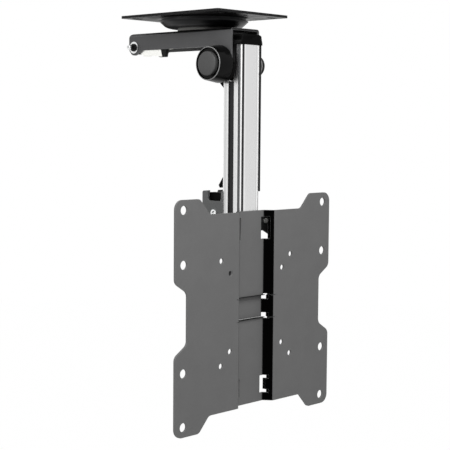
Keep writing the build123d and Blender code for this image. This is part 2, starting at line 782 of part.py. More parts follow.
# Head bracket: side plates beside the column joined by a rear web, ears on the plate's back
bracket_half = column_half + bracket_sheet
bracket_back_y = column_back_y + bracket_reach
web_y = bracket_back_y - bracket_sheet
notch_start_y = column_back_y + notch_margin
notch_end_y = notch_start_y + notch_width
bracket_top_z = vesa_z + bracket_top
bracket_bottom_z = vesa_z + bracket_bottom
bracket_screw_y = column_back_y + bracket_screw_back
bracket_screw_z = vesa_z + bracket_screw_height
stud_z = vesa_z + stud_height
with BuildPart() as head_bracket:
    with BuildSketch(side_plane(-bracket_half)) as bracket_outline:
        with BuildLine():
            Polyline(
                (column_front_y, bracket_bottom_z),
                (column_front_y, vesa_z + bracket_step),
                (column_back_y, vesa_z + bracket_step),
                (column_back_y, bracket_top_z),
                (bracket_back_y, bracket_top_z),
                (bracket_back_y, vesa_z + bracket_rear_bottom),
                (column_back_y + bracket_heel, bracket_bottom_z),
                close=True,
            )
        make_face()
        fillet(bracket_outline.vertices().sort_by(lambda v: v.X + v.Y)[-1], bracket_corner_radius)
    extrude(amount=2 * bracket_half)
    with BuildSketch(side_plane(-bracket_half)):
        with BuildLine():
            FilletPolyline(
                (notch_start_y, bracket_top_z),
                (notch_start_y, bracket_top_z - notch_depth),
                (notch_end_y, bracket_top_z - notch_depth),
                (notch_end_y, bracket_top_z),
                radius=notch_corner_radius,
            )
            Line((notch_start_y, bracket_top_z), (notch_end_y, bracket_top_z))
        make_face()
    extrude(amount=2 * bracket_half, mode=Mode.SUBTRACT)
    with BuildSketch(Plane.XY.offset(bracket_bottom_z)):
        with Locations((0, (column_front_y + web_y) / 2)):
            Rectangle(column_width, web_y - column_front_y)
    extrude(amount=bracket_top - bracket_bottom, mode=Mode.SUBTRACT)
    with BuildSketch(back_plane(web_y)):
        with Locations((0, bracket_top_z - web_relief_depth / 2)):
            Rectangle(2 * web_relief_half_width, web_relief_depth)
    extrude(amount=bracket_sheet, mode=Mode.SUBTRACT)
    for side in (-1, 1):
        with BuildSketch(back_plane(column_front_y)):
            with BuildLine():
                Polyline(
                    (side * bracket_half, vesa_z + ear_flange_inner_bottom),
                    (side * ear_flange_slope_start, vesa_z + ear_flange_inner_bottom),
                    (side * ear_flange_reach, vesa_z + ear_flange_bottom),
                    (side * ear_flange_reach, vesa_z + ear_flange_top),
                    (side * bracket_half, vesa_z + ear_flange_top),
                    close=True,
                )
            make_face()
        extrude(amount=bracket_sheet)
    with BuildSketch(side_plane(-bracket_half)):
        with Locations((bracket_screw_y, bracket_screw_z)):
            Circle(bracket_screw_radius + bolt_gap)
    extrude(amount=2 * bracket_half, mode=Mode.SUBTRACT)
    with BuildSketch(back_plane(column_front_y)):
        with Locations((0, stud_z)):
            with GridLocations(2 * stud_reach, 0, 2, 1):
                Circle(stud_radius)
    extrude(amount=bracket_sheet, mode=Mode.SUBTRACT)
write(head_bracket.part, "head_bracket")

with BuildPart() as locating_studs:
    with BuildSketch(back_plane(column_front_y)):
        with Locations((0, stud_z)):
            with GridLocations(2 * stud_reach, 0, 2, 1):
                Circle(stud_radius)
    extrude(amount=bracket_sheet + stud_head_height)
    with BuildSketch(front_plane(column_front_y)):
        with Locations((0, stud_z)):
            with GridLocations(2 * stud_reach, 0, 2, 1):
                Circle(stud_head_radius)
    extrude(amount=stud_head_height)
write(locating_studs.part, "locating_studs")

# Clamp block behind the column, held by screws in the rear slot's nuts
with BuildPart() as clamp_block:
    with BuildSketch(back_plane(column_back_y)):
        with Locations((0, clamp_mid_z)):
            Rectangle(column_width, clamp_top - clamp_bottom)
            with GridLocations(0, clamp_screw_spacing, 1, 2):
                Circle(clamp_screw_radius + bolt_gap, mode=Mode.SUBTRACT)
    extrude(amount=clamp_depth)
    for side in (-1, 1):
        with BuildSketch(side_plane(side * column_half)):
            with Locations((bracket_screw_y, bracket_screw_z)):
                Circle(bracket_screw_radius)
        extrude(amount=-side * bracket_screw_length, mode=Mode.SUBTRACT)
write(clamp_block.part, "clamp_block")

with BuildPart() as clamp_screws:
    with BuildSketch(back_plane(clamp_y)):
        with Locations((0, clamp_mid_z)):
            with GridLocations(0, clamp_screw_spacing, 1, 2):
                Circle(clamp_screw_head_radius)
    extrude(amount=clamp_screw_head_height)
    with BuildSketch(back_plane(clamp_y + clamp_screw_head_height)):
        with Locations((0, clamp_mid_z)):
            with GridLocations(0, clamp_screw_spacing, 1, 2):
                RegularPolygon(radius=hex_socket_flats / 2, side_count=6, major_radius=False)
    extrude(amount=-hex_socket_depth, mode=Mode.SUBTRACT)
    with BuildSketch(back_plane(nut_end_y)):
        with Locations((0, clamp_mid_z)):
            with GridLocations(0, clamp_screw_spacing, 1, 2):
                Circle(clamp_screw_radius)
    extrude(amount=clamp_y - nut_end_y)
write(clamp_screws.part, "clamp_screws")

with BuildPart() as bracket_screws:
    for side in (-1, 1):
        with BuildSketch(side_plane(side * bracket_half)):
            with Locations((bracket_screw_y, bracket_screw_z)):
                Circle(bracket_screw_head_radius)
        extrude(amount=side * bracket_screw_head_height)
        with BuildSketch(side_plane(side * bracket_half)):
            with Locations((bracket_screw_y, bracket_screw_z)):
                Circle(bracket_screw_radius)
        extrude(amount=-side * (bracket_screw_length + bracket_sheet))
        with BuildSketch(side_plane(side * (bracket_half + bracket_screw_head_height))):
            with Locations((bracket_screw_y, bracket_screw_z)):
                RegularPolygon(radius=hex_socket_flats / 2, side_count=6, major_radius=False)
        extrude(amount=-side * hex_socket_depth, mode=Mode.SUBTRACT)
write(bracket_screws.part, "bracket_screws")

# Television plate: folded section run along Z, trimmed to its front outline, then pierced
wall_angle = math.atan2(vesa_recess, vesa_wing_inner - vesa_web_half_width)
wall_shift = vesa_sheet * math.tan(wall_angle / 2)
outer_bend = vesa_bend_radius + vesa_sheet
band_cut_half = vesa_wing_inner + outer_bend
wing_back_y = vesa_front_y + vesa_sheet


def folded_section(depth):
    """Section of the folded sheet with its web set deeper by the given depth."""
    faces = (
        (web_front_y + depth, vesa_front_y, 0, [outer_bend, vesa_bend_radius]),
        (vesa_back_y + depth, wing_back_y, wall_shift, [vesa_bend_radius, outer_bend]),
    )
    with BuildSketch(mode=Mode.PRIVATE) as section:
        with BuildLine():
            lines = [
                FilletPolyline(
                    (-ear_half_width, wing_y),
                    (-vesa_wing_inner - shift, wing_y),
                    (-vesa_web_half_width - shift, web_level_y),
                    (vesa_web_half_width + shift, web_level_y),
                    (vesa_wing_inner + shift, wing_y),
                    (ear_half_width, wing_y),
                    radius=bends + bends[::-1],
                )
                for web_level_y, wing_y, shift, bends in faces
            ]
            Line(lines[0] @ 0, lines[1] @ 0)
            Line(lines[0] @ 1, lines[1] @ 1)
        make_face()
    return section.sketch


def half_outline(side):
    """Half of the plate's front outline, from the middle of its top edge to the bottom edge."""
    upper_bends = [slope_radius, slope_radius, ear_corner_radius, waist_radius, waist_radius]
    return FilletPolyline(
        (0, vesa_z + middle_half_height),
        (side * middle_half_width, vesa_z + middle_half_height),
        (side * ear_inner, vesa_z + ear_half_height),
        (side * ear_half_width, vesa_z + ear_half_height),
        (side * ear_half_width, vesa_z + shoulder_half_height),
        (side * waist_half_width, vesa_z + waist_half_height),
        (side * waist_half_width, vesa_z - waist_half_height),
        (side * ear_half_width, vesa_z - shoulder_half_height),
        (side * ear_half_width, vesa_z - ear_half_height),
        (side * ear_inner, vesa_z - ear_half_height),
        (side * middle_half_width, vesa_z - middle_half_height),
        (0, vesa_z - middle_half_height),
        radius=upper_bends + upper_bends[::-1],
    )


window_x = (window_outer + hook_window_inner) / 2
window_width = window_outer - hook_window_inner
window_z = vesa_z + (hook_window_bottom + hook_window_top) / 2
tab_z = vesa_z - tab_window_centre
tab_width = window_outer - tab_inner
relief_x = (window_outer + relief_inner) / 2
with BuildPart() as vesa_plate:
    with BuildSketch(Plane.XY.offset(vesa_z - ear_half_height)):
        add(folded_section(0))
    extrude(amount=2 * ear_half_height)
    with BuildSketch(front_plane(vesa_back_y)):
        with BuildLine():
            half_outline(-1)
            half_outline(1)
        make_face()
    extrude(amount=vesa_back_y - vesa_front_y, mode=Mode.INTERSECT)
    with BuildSketch(front_plane(vesa_back_y)):
        with Locations((0, vesa_z)):
            Rectangle(2 * band_cut_half, 2 * band_half_height)
        for side in (-1, 1):
            with Locations((side * window_x, window_z)):
                Rectangle(window_width, hook_window_top - hook_window_bottom)
            with Locations((side * window_x, tab_z)):
                Rectangle(window_width, tab_window_height)
            with Locations((side * (window_outer - tab_width / 2), tab_z)):
                Rectangle(tab_width, tab_height, mode=Mode.SUBTRACT)
    extrude(amount=vesa_back_y - vesa_front_y, mode=Mode.SUBTRACT)
    with BuildSketch(Plane.XY.offset(vesa_z - band_half_height + band_slit)):
        add(folded_section(band_depth))
        with Locations((0, vesa_front_y)):
            Rectangle(2 * band_cut_half, 4 * vesa_recess, mode=Mode.INTERSECT)
    extrude(amount=2 * (band_half_height - band_slit))
    with BuildSketch(front_plane(vesa_back_y + band_depth)):
        with Locations((0, vesa_z)):
            with GridLocations(2 * relief_x, 2 * relief_level, 2, 2):
                Rectangle(window_outer - relief_inner, relief_height)
    extrude(amount=vesa_back_y + band_depth - vesa_front_y, mode=Mode.SUBTRACT)
    with BuildSketch(front_plane(wing_back_y)):
        with Locations((0, vesa_z)):
            with GridLocations(vesa_large, vesa_large, 2, 2):
                Circle(large_hole_radius)
            with GridLocations(vesa_large, vesa_middle, 2, 2):
                Circle(large_hole_radius)
            with GridLocations(vesa_middle, vesa_middle, 2, 2):
                Circle(small_hole_radius)
            with GridLocations(vesa_small, vesa_small, 2, 2):
                Circle(small_hole_radius)
    extrude(amount=vesa_sheet, mode=Mode.SUBTRACT)
write(vesa_plate.part, "vesa_plate")

# Latch lever: a pressed channel with a tongue that ends in a claw, and a stop tab on its back
lever_half = arm_inner_half - side_gap
lever_inner_half = lever_half - lever_sheet
lever_top_z = latch_z + lever_rise
lever_under_z = lever_top_z - lever_sheet
lever_bottom_z = latch_z - lever_handle_bottom
handle_y = latch_y - lever_handle_reach
bridge_end_y = latch_y - bridge_end_reach
claw_y = latch_y + claw_reach
claw_stem_y = claw_y - lever_sheet
claw_seat_z = pivot_z + catch_lip_height - column_back_offset - catch_lip_thickness - claw_seat_gap
stop_top_z = arm_inner_z - face_gap
with BuildPart() as latch_lever:
    with BuildSketch(front_plane(latch_y + lever_hub_radius)):
        with BuildLine():
            lever_shell = FilletPolyline(
                (-lever_half, lever_bottom_z),
                (-lever_half, lever_top_z),
                (lever_half, lever_top_z),
                (lever_half, lever_bottom_z),
                radius=lever_bend_radius,
            )
            lever_hollow = FilletPolyline(
                (-lever_inner_half, lever_bottom_z),
                (-lever_inner_half, lever_under_z),
                (lever_inner_half, lever_under_z),
                (lever_inner_half, lever_bottom_z),
                radius=lever_bend_radius - lever_sheet,
            )
            Line(lever_shell @ 0, lever_hollow @ 0)
            Line(lever_shell @ 1, lever_hollow @ 1)
        make_face()
    extrude(amount=lever_handle_reach + lever_hub_radius)
    with BuildSketch(side_plane(-lever_half)):
        with BuildLine():
            Polyline(
                (handle_y, lever_bottom_z),
                (handle_y, lever_top_z),
                (latch_y, lever_top_z),
                (latch_y, latch_z - lever_hub_radius),
                (latch_y - lever_neck_reach, latch_z - lever_neck_bottom),
                close=True,
            )
        make_face()
    extrude(amount=2 * lever_half, mode=Mode.INTERSECT)
    with BuildSketch(Plane.XY.offset(lever_under_z)):
        with Locations((0, (bridge_end_y + latch_y) / 2)):
            Rectangle(2 * lever_inner_half, bridge_end_reach)
    extrude(amount=lever_sheet, mode=Mode.SUBTRACT)
    with BuildSketch(side_plane(lever_inner_half), side_plane(-lever_half)):
        with Locations((latch_y, latch_z)):
            Circle(lever_hub_radius)
    extrude(amount=lever_sheet)
    with BuildSketch(side_plane(-lever_half)):
        with Locations((latch_y, latch_z)):
            Circle(lever_pivot_radius + running_gap)
    extrude(amount=2 * lever_half, mode=Mode.SUBTRACT)
    with BuildSketch(side_plane(-claw_half_width)):
        with BuildLine():
            Polyline(
                (bridge_end_y, lever_top_z),
                (claw_y, lever_top_z),
                (claw_y, claw_seat_z - claw_thickness),
                (claw_stem_y, claw_seat_z - claw_thickness),
                (claw_tip_y, claw_seat_z - claw_tip_height),
                (claw_tip_y, claw_seat_z),
                (claw_stem_y, claw_seat_z),
                (claw_stem_y, lever_under_z),
                (bridge_end_y, lever_under_z),
                close=True,
            )
        make_face()
    extrude(amount=2 * claw_half_width)
    with BuildSketch(front_plane(latch_y - stop_tab_reach)):
        with Locations((0, (lever_under_z + stop_top_z) / 2)):
            Rectangle(2 * stop_tab_half_width, stop_top_z - lever_under_z)
    extrude(amount=lever_sheet)
    with BuildSketch(Plane.XY.offset(lever_under_z)):
        with Locations((0, spring_y)):
            Circle(spring_hole_radius)
    extrude(amount=lever_sheet, mode=Mode.SUBTRACT)
write(latch_lever.part, "latch_lever")

# Grip: plastic end on the lever's handle with a plug inside the channel
grip_half = lever_half - grip_wall
grip_bottom_z = latch_z - grip_drop
insert_bottom_z = latch_z - lever_neck_bottom
grip_hollow_z = lever_top_z - grip_top
with BuildPart() as latch_grip:
    with BuildSketch(front_plane(handle_y)):
        with BuildLine():
            grip_shell = FilletPolyline(
                (-lever_half, grip_bottom_z),
                (-lever_half, lever_top_z),
                (lever_half, lever_top_z),
                (lever_half, grip_bottom_z),
                radius=lever_bend_radius,
            )
            grip_hollow = Polyline(
                (-grip_half, grip_bottom_z),
                (-grip_half, grip_hollow_z),
                (grip_half, grip_hollow_z),
                (grip_half, grip_bottom_z),
            )
            Line(grip_shell @ 0, grip_hollow @ 0)
            Line(grip_shell @ 1, grip_hollow @ 1)
        make_face()
    extrude(amount=grip_length)
    with BuildSketch(front_plane(handle_y + grip_insert)):
        with BuildLine():
            insert_shell = FilletPolyline(
                (-lever_inner_half, insert_bottom_z),
                (-lever_inner_half, lever_under_z),
                (lever_inner_half, lever_under_z),
                (lever_inner_half, insert_bottom_z),
                radius=lever_bend_radius - lever_sheet,
            )
            insert_hollow = Polyline(
                (-grip_half, insert_bottom_z),
                (-grip_half, grip_hollow_z),
                (grip_half, grip_hollow_z),
                (grip_half, insert_bottom_z),
            )
            Line(insert_shell @ 0, insert_hollow @ 0)
            Line(insert_shell @ 1, insert_hollow @ 1)
        make_face()
    extrude(amount=grip_insert)
write(latch_grip.part, "latch_grip")

# Latch pivots: a shoulder screw and a washer on each side
screw_tip_x = lever_inner_half + running_gap
washer_face_x = wall_x + latch_washer_thickness
screw_face_x = washer_face_x + latch_head_height
with BuildPart() as latch_pivot_screws:
    for side in (-1, 1):
        with BuildSketch(side_plane(side * screw_tip_x)):
            with Locations((latch_y, latch_z)):
                Circle(lever_pivot_radius)
        extrude(amount=side * (washer_face_x - screw_tip_x))
        with BuildSketch(side_plane(side * washer_face_x)):
            with Locations((latch_y, latch_z)):
                Circle(latch_head_radius)
        extrude(amount=side * latch_head_height)
        with BuildSketch(side_plane(side * screw_face_x)):
            with Locations((latch_y, latch_z)):
                RegularPolygon(radius=hex_socket_flats / 2, side_count=6, major_radius=False)
        extrude(amount=-side * hex_socket_depth, mode=Mode.SUBTRACT)
write(latch_pivot_screws.part, "latch_pivot_screws")

with BuildPart() as latch_washers:
    with BuildSketch(side_plane(wall_x), side_plane(-washer_face_x)):
        with Locations((latch_y, latch_z)):
            Circle(latch_washer_radius)
            Circle(lever_pivot_radius + bolt_gap, mode=Mode.SUBTRACT)
    extrude(amount=latch_washer_thickness)
write(latch_washers.part, "latch_washers")

# Latch spring: a coil hung from the arm's web that pulls the lever's bridge up
spring_pitch = 2 * spring_wire_radius + spring_turn_gap
coil_height = spring_turns * spring_pitch
spring_mid_z = (arm_inner_z + lever_top_z) / 2
coil_bottom_z = spring_mid_z - coil_height / 2
coil_top_z = spring_mid_z + coil_height / 2
upper_foot_z = arm_top_z + spring_wire_radius
lower_foot_z = lever_under_z - spring_wire_radius


def wire_run(start, end):
    """Straight piece of wire with a rounded far end."""
    direction = Vector(*end) - Vector(*start)
    with BuildPart(Plane(origin=start, z_dir=direction), mode=Mode.PRIVATE) as run:
        Cylinder(spring_wire_radius, direction.length, align=(Align.CENTER, Align.CENTER, Align.MIN))
        with Locations((0, 0, direction.length)):
            Sphere(spring_wire_radius)
    return run.part


coil_path = Helix(
    pitch=spring_pitch, height=coil_height, radius=spring_coil_radius, center=(0, spring_y, coil_bottom_z)
)
with BuildPart() as latch_spring:
    with BuildSketch(Plane(origin=coil_path @ 0, z_dir=coil_path % 0)):
        Circle(spring_wire_radius)
    sweep(path=coil_path, is_frenet=True)
    for coil_end_z, foot_z in ((coil_top_z, upper_foot_z), (coil_bottom_z, lower_foot_z)):
        add(wire_run((0, spring_y, coil_end_z), (spring_coil_radius, spring_y, coil_end_z)))
        add(wire_run((0, spring_y, foot_z), (0, spring_y, coil_end_z)))
        add(wire_run((0, spring_y + spring_foot, foot_z), (0, spring_y, foot_z)))
write(latch_spring.part, "latch_spring")
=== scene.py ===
import logging
import math
from collections.abc import Callable, Iterator
from contextlib import contextmanager
from dataclasses import dataclass, field
from enum import Enum

import bpy
from mathutils import Matrix, Vector


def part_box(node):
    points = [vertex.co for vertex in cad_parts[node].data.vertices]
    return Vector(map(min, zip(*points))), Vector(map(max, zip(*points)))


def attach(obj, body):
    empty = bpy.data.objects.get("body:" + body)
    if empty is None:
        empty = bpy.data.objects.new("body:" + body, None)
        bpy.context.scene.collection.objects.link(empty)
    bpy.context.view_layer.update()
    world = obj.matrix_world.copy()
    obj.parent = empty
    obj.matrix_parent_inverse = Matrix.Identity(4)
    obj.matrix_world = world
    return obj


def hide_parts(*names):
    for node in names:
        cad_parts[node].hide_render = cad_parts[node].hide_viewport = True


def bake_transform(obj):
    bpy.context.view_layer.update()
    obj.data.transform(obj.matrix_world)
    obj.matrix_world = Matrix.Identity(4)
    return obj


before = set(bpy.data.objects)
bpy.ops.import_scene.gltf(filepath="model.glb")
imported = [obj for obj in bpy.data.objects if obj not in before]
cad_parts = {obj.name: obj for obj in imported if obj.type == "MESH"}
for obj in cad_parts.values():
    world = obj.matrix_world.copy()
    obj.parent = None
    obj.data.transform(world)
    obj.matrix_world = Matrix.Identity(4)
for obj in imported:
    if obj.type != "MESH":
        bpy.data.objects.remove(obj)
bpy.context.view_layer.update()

log = logging.getLogger("ceiling_mount")

Colour = tuple[float, float, float, float]
Triple = tuple[float, float, float]
Span = tuple[float, float]
Socket = bpy.types.NodeSocket

# Ranges in metres that lie before and beyond every point of the mount.
BEFORE: Span = (-1.0, -0.9)
BEYOND: Span = (0.9, 1.0)
SMOOTH_ANGLE = math.radians(30)
BEVEL_ANGLE = math.radians(32)
# How far the arm's web and what is bolted to it move up to the ceiling plate, in millimetres.
WEB_RISE = 3.3
WHITE: Colour = (1.0, 1.0, 1.0, 1.0)


class Body(Enum):
    """The rigid bodies that the pieces ride on."""

    CEILING = "ceiling"
    ARM = "arm"
    LATCH = "latch"
    COLUMN = "column"


class Grain(Enum):
    """How the fine relief of a surface runs."""

    PEEL = "soft dimples of a baked coat"
    CAST = "open skin of a die casting"
    SPARK = "fine even texture of a moulding tool"
    DRAWN = "long lines from a die, along Z"
    PLATED = "faint cloudy skin of a plated part"


def srgb(level_red: float, level_green: float, level_blue: float) -> Colour:
    """Turn screen levels into a linear colour.

    Args:
        level_red: Red from 0 to 255.
        level_green: Green from 0 to 255.
        level_blue: Blue from 0 to 255.

    Returns:
        The linear colour with full alpha.
    """
    def channel(level: float) -> float:
        """Linear value of one screen level."""
        share = level / 255
        return share / 12.92 if share <= 0.04045 else ((share + 0.055) / 1.055) ** 2.4

    return (channel(level_red), channel(level_green), channel(level_blue), 1.0)


@dataclass(frozen=True)
class Graph:
    """A node tree, with short calls for the nodes that the finishes share."""

    tree: bpy.types.NodeTree

    def feed(self, value: object, socket: Socket) -> None:
        """Link a socket into an input, or set the input to a constant.

        Args:
            value: A socket or a constant.
            socket: The input.
        """
        if isinstance(value, bpy.types.NodeSocket):
            self.tree.links.new(value, socket)
        else:
            socket.default_value = value

    def add(self, kind: str, **values: object) -> bpy.types.Node:
        """Add a node.

        Args:
            kind: Its type, without the ShaderNode in front.
            values: Its inputs by name, with _ for a space, each a constant or a socket.

        Returns:
            The node.
        """
        node = self.tree.nodes.new(f"ShaderNode{kind}")
        for name, value in values.items():
            self.feed(value, node.inputs[name.replace("_", " ")])
        return node

    def place(self) -> Socket:
        """The Object coordinates."""
        return self.add("TexCoord").outputs["Object"]

    def measured(self, axis: str) -> Socket:
        """Distance in metres along X, Y or Z of the Object coordinates."""
        return self.add("SeparateXYZ", Vector=self.place()).outputs[axis]

    def math(self, operation: str, *values: object) -> Socket:
        """Join values by an operation.

        Args:
            operation: Its name, such as MULTIPLY.
            values: Constants or sockets.

        Returns:
            The result.
        """
        node = self.add("Math")
        node.operation = operation
        for value, socket in zip(values, node.inputs):
            self.feed(value, socket)
        return node.outputs["Value"]

    def ranged(self, value: Socket, start: float, end: float, low: float = 0.0, high: float = 1.0) -> Socket:
        """Map a range onto another one, and stop at its ends.

        Args:
            value: The value to map.
            start: Value that gives low.
            end: Value that gives high.
            low: First result.
            high: Last result.

        Returns:
            The mapped value.
        """
        return self.add("MapRange", Value=value, From_Min=start, From_Max=end, To_Min=low,
                        To_Max=high).outputs["Result"]

    def band(self, value: Socket, rise: Span, fall: Span) -> Socket:
        """A share that rises to 1 over one range in metres and falls back to 0 over the next."""
        return self.math("MULTIPLY", self.ranged(value, *rise), self.ranged(value, fall[1], fall[0]))

    def mixed(self, share: object, first: object, second: object, blend: str = "MIX") -> Socket:
        """Mix a second colour over the first.

        Args:
            share: How much of the second colour shows.
            first: The first colour, fixed or from a socket.
            second: The second colour, fixed or from a socket.
            blend: How the two are blended.

        Returns:
            The mixed colour.
        """
        mix = self.add("Mix")
        mix.data_type = "RGBA"
        mix.blend_type = blend
        self.feed(share, mix.inputs["Factor"])
        for value, socket in zip((first, second), [socket for socket in mix.inputs if socket.type == "RGBA"]):
            self.feed(value, socket)
        return next(socket for socket in mix.outputs if socket.type == "RGBA")

    def cloud(self, width: float, detail: float, stretch: Triple, seed: float) -> Socket:
        """Add a noise on Object coordinates.

        Args:
            width: Width of one patch in metres.
            detail: Number of finer layers.
            stretch: Scale along each axis.
            seed: Shift that keeps two noises apart.

        Returns:
            The noise's value, from 0 to 1.
        """
        moved = self.add("Mapping", Scale=stretch, Location=(seed, seed * 0.7, seed * 0.3), Vector=self.place())
        noise = self.add("TexNoise", Scale=1 / width, Detail=detail, Vector=moved.outputs["Vector"])
        return noise.outputs["Fac"]

    def spread(self, noise: Socket, low: float = 0.0, high: float = 1.0) -> Socket:
        """Spread a noise's middle range over low to high."""
        return self.ranged(noise, 0.3, 0.7, low, high)


@dataclass(frozen=True)
class Finish:
    """One surface finish, with its colour drift, gloss drift and relief.

    Sizes are in metres: patch is the width of a patch of colour or gloss, grain_width the
    width of one dimple, line or pit, and grain_height how high it stands.
    """

    name: str
    colour: Colour
    drift: float
    roughness: float
    gloss_drift: float
    grain: Grain
    grain_width: float
    grain_height: float
    metallic: float = 0.0
    patch: float = 0.02
    edge_round: float = 0.0004
    # Painted highlight on the edges: how much lighter the colour turns there.
    edge_highlight: float = 0.0
    specular: float = 0.5
    # Painted shade in recesses: how dark they turn, and how far the occlusion test reaches.
    recess_shade: float = 0.0
    recess_reach: float = 0.003
    slot_name: str = ""

    def stretch(self) -> Triple:
        """How the fine relief is stretched along X, Y and Z."""
        return (1.0, 1.0, 0.01) if self.grain is Grain.DRAWN else (1.0, 1.0, 1.0)

    def material(self) -> bpy.types.Material:
        """Make the node material once.

        Returns:
            The material.
        """
        title = f"{self.name}_finish"
        known = bpy.data.materials.get(title)
        if known is not None:
            return known
        made = bpy.data.materials.new(title)
        made.use_nodes = True
        made.node_tree.nodes.clear()
        graph = Graph(made.node_tree)
        shader = graph.add("BsdfPrincipled", Metallic=self.metallic, Specular_IOR_Level=self.specular)
        graph.add("OutputMaterial", Surface=shader.outputs["BSDF"])
        graph.feed(self.shade(graph, shader), shader.inputs["Base Color"])
        handled = graph.cloud(self.patch * 0.6, 4.0, self.stretch(), 1.9)
        low, high = max(0.02, self.roughness - self.gloss_drift), self.roughness + self.gloss_drift
        gloss = graph.spread(handled, low, high)
        graph.feed(gloss, shader.inputs["Roughness"])
        graph.feed(self.relief(graph), shader.inputs["Normal"])
        return made

    def shade(self, graph: Graph, shader: bpy.types.Node) -> Socket:
        """Colour with slow patches, fine specks and the finish's marks, with painted highlights on the edges and
        painted shade in recesses.

        Args:
            graph: Node tree of the material.
            shader: The surface shader.

        Returns:
            The colour.
        """
        slow = graph.cloud(self.patch, 3.0, self.stretch(), 0.0)
        fine = graph.cloud(self.grain_width * 1.6, 2.0, self.stretch(), 0.37)
        both = graph.add("Mix", Factor=0.4, A=graph.spread(slow), B=graph.spread(fine))
        colours = graph.add("ValToRGB", Fac=both.outputs["Result"])
        red, green, blue, alpha = self.colour
        for stop, sign in zip(colours.color_ramp.elements, (-1, 1)):
            scale = 1 + sign * self.drift
            stop.color = (red * scale, green * scale, blue * scale, alpha)
        colour = self.marked(graph, shader, colours.outputs["Color"])
        # Painted highlight: lighter colour where a rounded normal leaves the face.
        if self.edge_highlight:
            highlight_scale = 1 + self.edge_highlight
            edge_highlight_colour = (min(1, red * highlight_scale), min(1, green * highlight_scale), min(1, blue * highlight_scale), alpha)
            colour = graph.mixed(self.edge_highlight_share(graph), colour, edge_highlight_colour)
        # Painted shade: recesses darkened towards black by ambient occlusion.
        if self.recess_shade:
            open_sky = graph.add("AmbientOcclusion", Distance=self.recess_reach)
            open_sky.samples = 6
            painted_recess_shade = graph.ranged(open_sky.outputs["AO"], 0.75, 0.15, 0.0, self.recess_shade)
            colour = graph.mixed(painted_recess_shade, colour, (0.004, 0.004, 0.004, 1))
        return colour

    def marked(self, graph: Graph, shader: bpy.types.Node, colour: Socket) -> Socket:
        """Colour with the finish's own marks; a plain finish has none.

        Args:
            graph: Node tree of the material.
            shader: The surface shader.
            colour: The colour without marks.

        Returns:
            The colour with marks.
        """
        return colour

    def rounded(self, graph: Graph, radius: float) -> Socket:
        """Normals that are rounded at the edges.

        Args:
            graph: Node tree of the material.
            radius: Radius in metres.

        Returns:
            The normals.
        """
        node = graph.add("Bevel", Radius=radius)
        node.samples = 4
        return node.outputs["Normal"]

    def edge_highlight_share(self, graph: Graph) -> Socket:
        """Share from 0 on a flat to 1 on an edge that gets a painted highlight, from how far a rounded normal leaves
        the face.

        Args:
            graph: Node tree of the material.

        Returns:
            The share.
        """
        dot = graph.add("VectorMath")
        dot.operation = "DOT_PRODUCT"
        graph.feed(self.rounded(graph, self.edge_round * 1.5), dot.inputs[0])
        graph.feed(graph.add("NewGeometry").outputs["True Normal"], dot.inputs[1])
        return graph.ranged(dot.outputs["Value"], 0.99, 0.8)

    def relief(self, graph: Graph) -> Socket:
        """Fine relief over normals that are rounded at the edges.

        Args:
            graph: Node tree of the material.

        Returns:
            The normals.
        """
        if self.grain in (Grain.CAST, Grain.SPARK):
            cells = graph.add("TexVoronoi", Scale=1 / self.grain_width, Vector=graph.place())
            height = cells.outputs["Distance"]
        else:
            detail = 5.0 if self.grain is Grain.PLATED else 2.0
            height = graph.cloud(self.grain_width, detail, self.stretch(), 0.11)
        bump = graph.add("Bump", Distance=self.grain_height, Height=height,
                         Normal=self.rounded(graph, self.edge_round))
        return bump.outputs["Normal"]


@dataclass(frozen=True)
class FoldedCoat(Finish):
    """Powder coat on the television plate, with painted shade, near black, on the two step walls beside the web."""

    fold_start: Span = (0.0173, 0.0187)
    fold_end: Span = (0.0250, 0.0254)
    wing_face: Span = (-0.07385, -0.07355)
    wall_shade_colour: Colour = srgb(2, 2, 2)
    wall_shade_specular: float = 0.01

    def marked(self, graph: Graph, shader: bpy.types.Node, colour: Socket) -> Socket:
        """Colour with painted shade, near black, on both step walls behind the wings' front face.

        Args:
            graph: Node tree of the material.
            shader: The surface shader.
            colour: The colour without marks.

        Returns:
            The colour with marks.
        """
        across = graph.band(graph.math("ABSOLUTE", graph.measured("X")), self.fold_start, self.fold_end)
        share = graph.math("MULTIPLY", across, graph.band(graph.measured("Y"), self.wing_face, BEYOND))
        # Painted shade: the walls lose their gloss and turn near black.
        graph.feed(graph.ranged(share, 0.0, 1.0, self.specular, self.wall_shade_specular),
                   shader.inputs["Specular IOR Level"])
        return graph.mixed(share, colour, self.wall_shade_colour)


@dataclass(frozen=True)
class BandedCoat(Finish):
    """Powder coat with one dark band of painted shade across an axis, where the surface turns away from the light."""

    axis: str = "Z"
    rise: Span = BEFORE
    fall: Span = BEYOND
    shade_band_colour: Colour = srgb(14, 14, 14)

    def marked(self, graph: Graph, shader: bpy.types.Node, colour: Socket) -> Socket:
        """Colour with the band of painted shade."""
        share = graph.band(graph.measured(self.axis), self.rise, self.fall)
        return graph.mixed(share, colour, self.shade_band_colour)


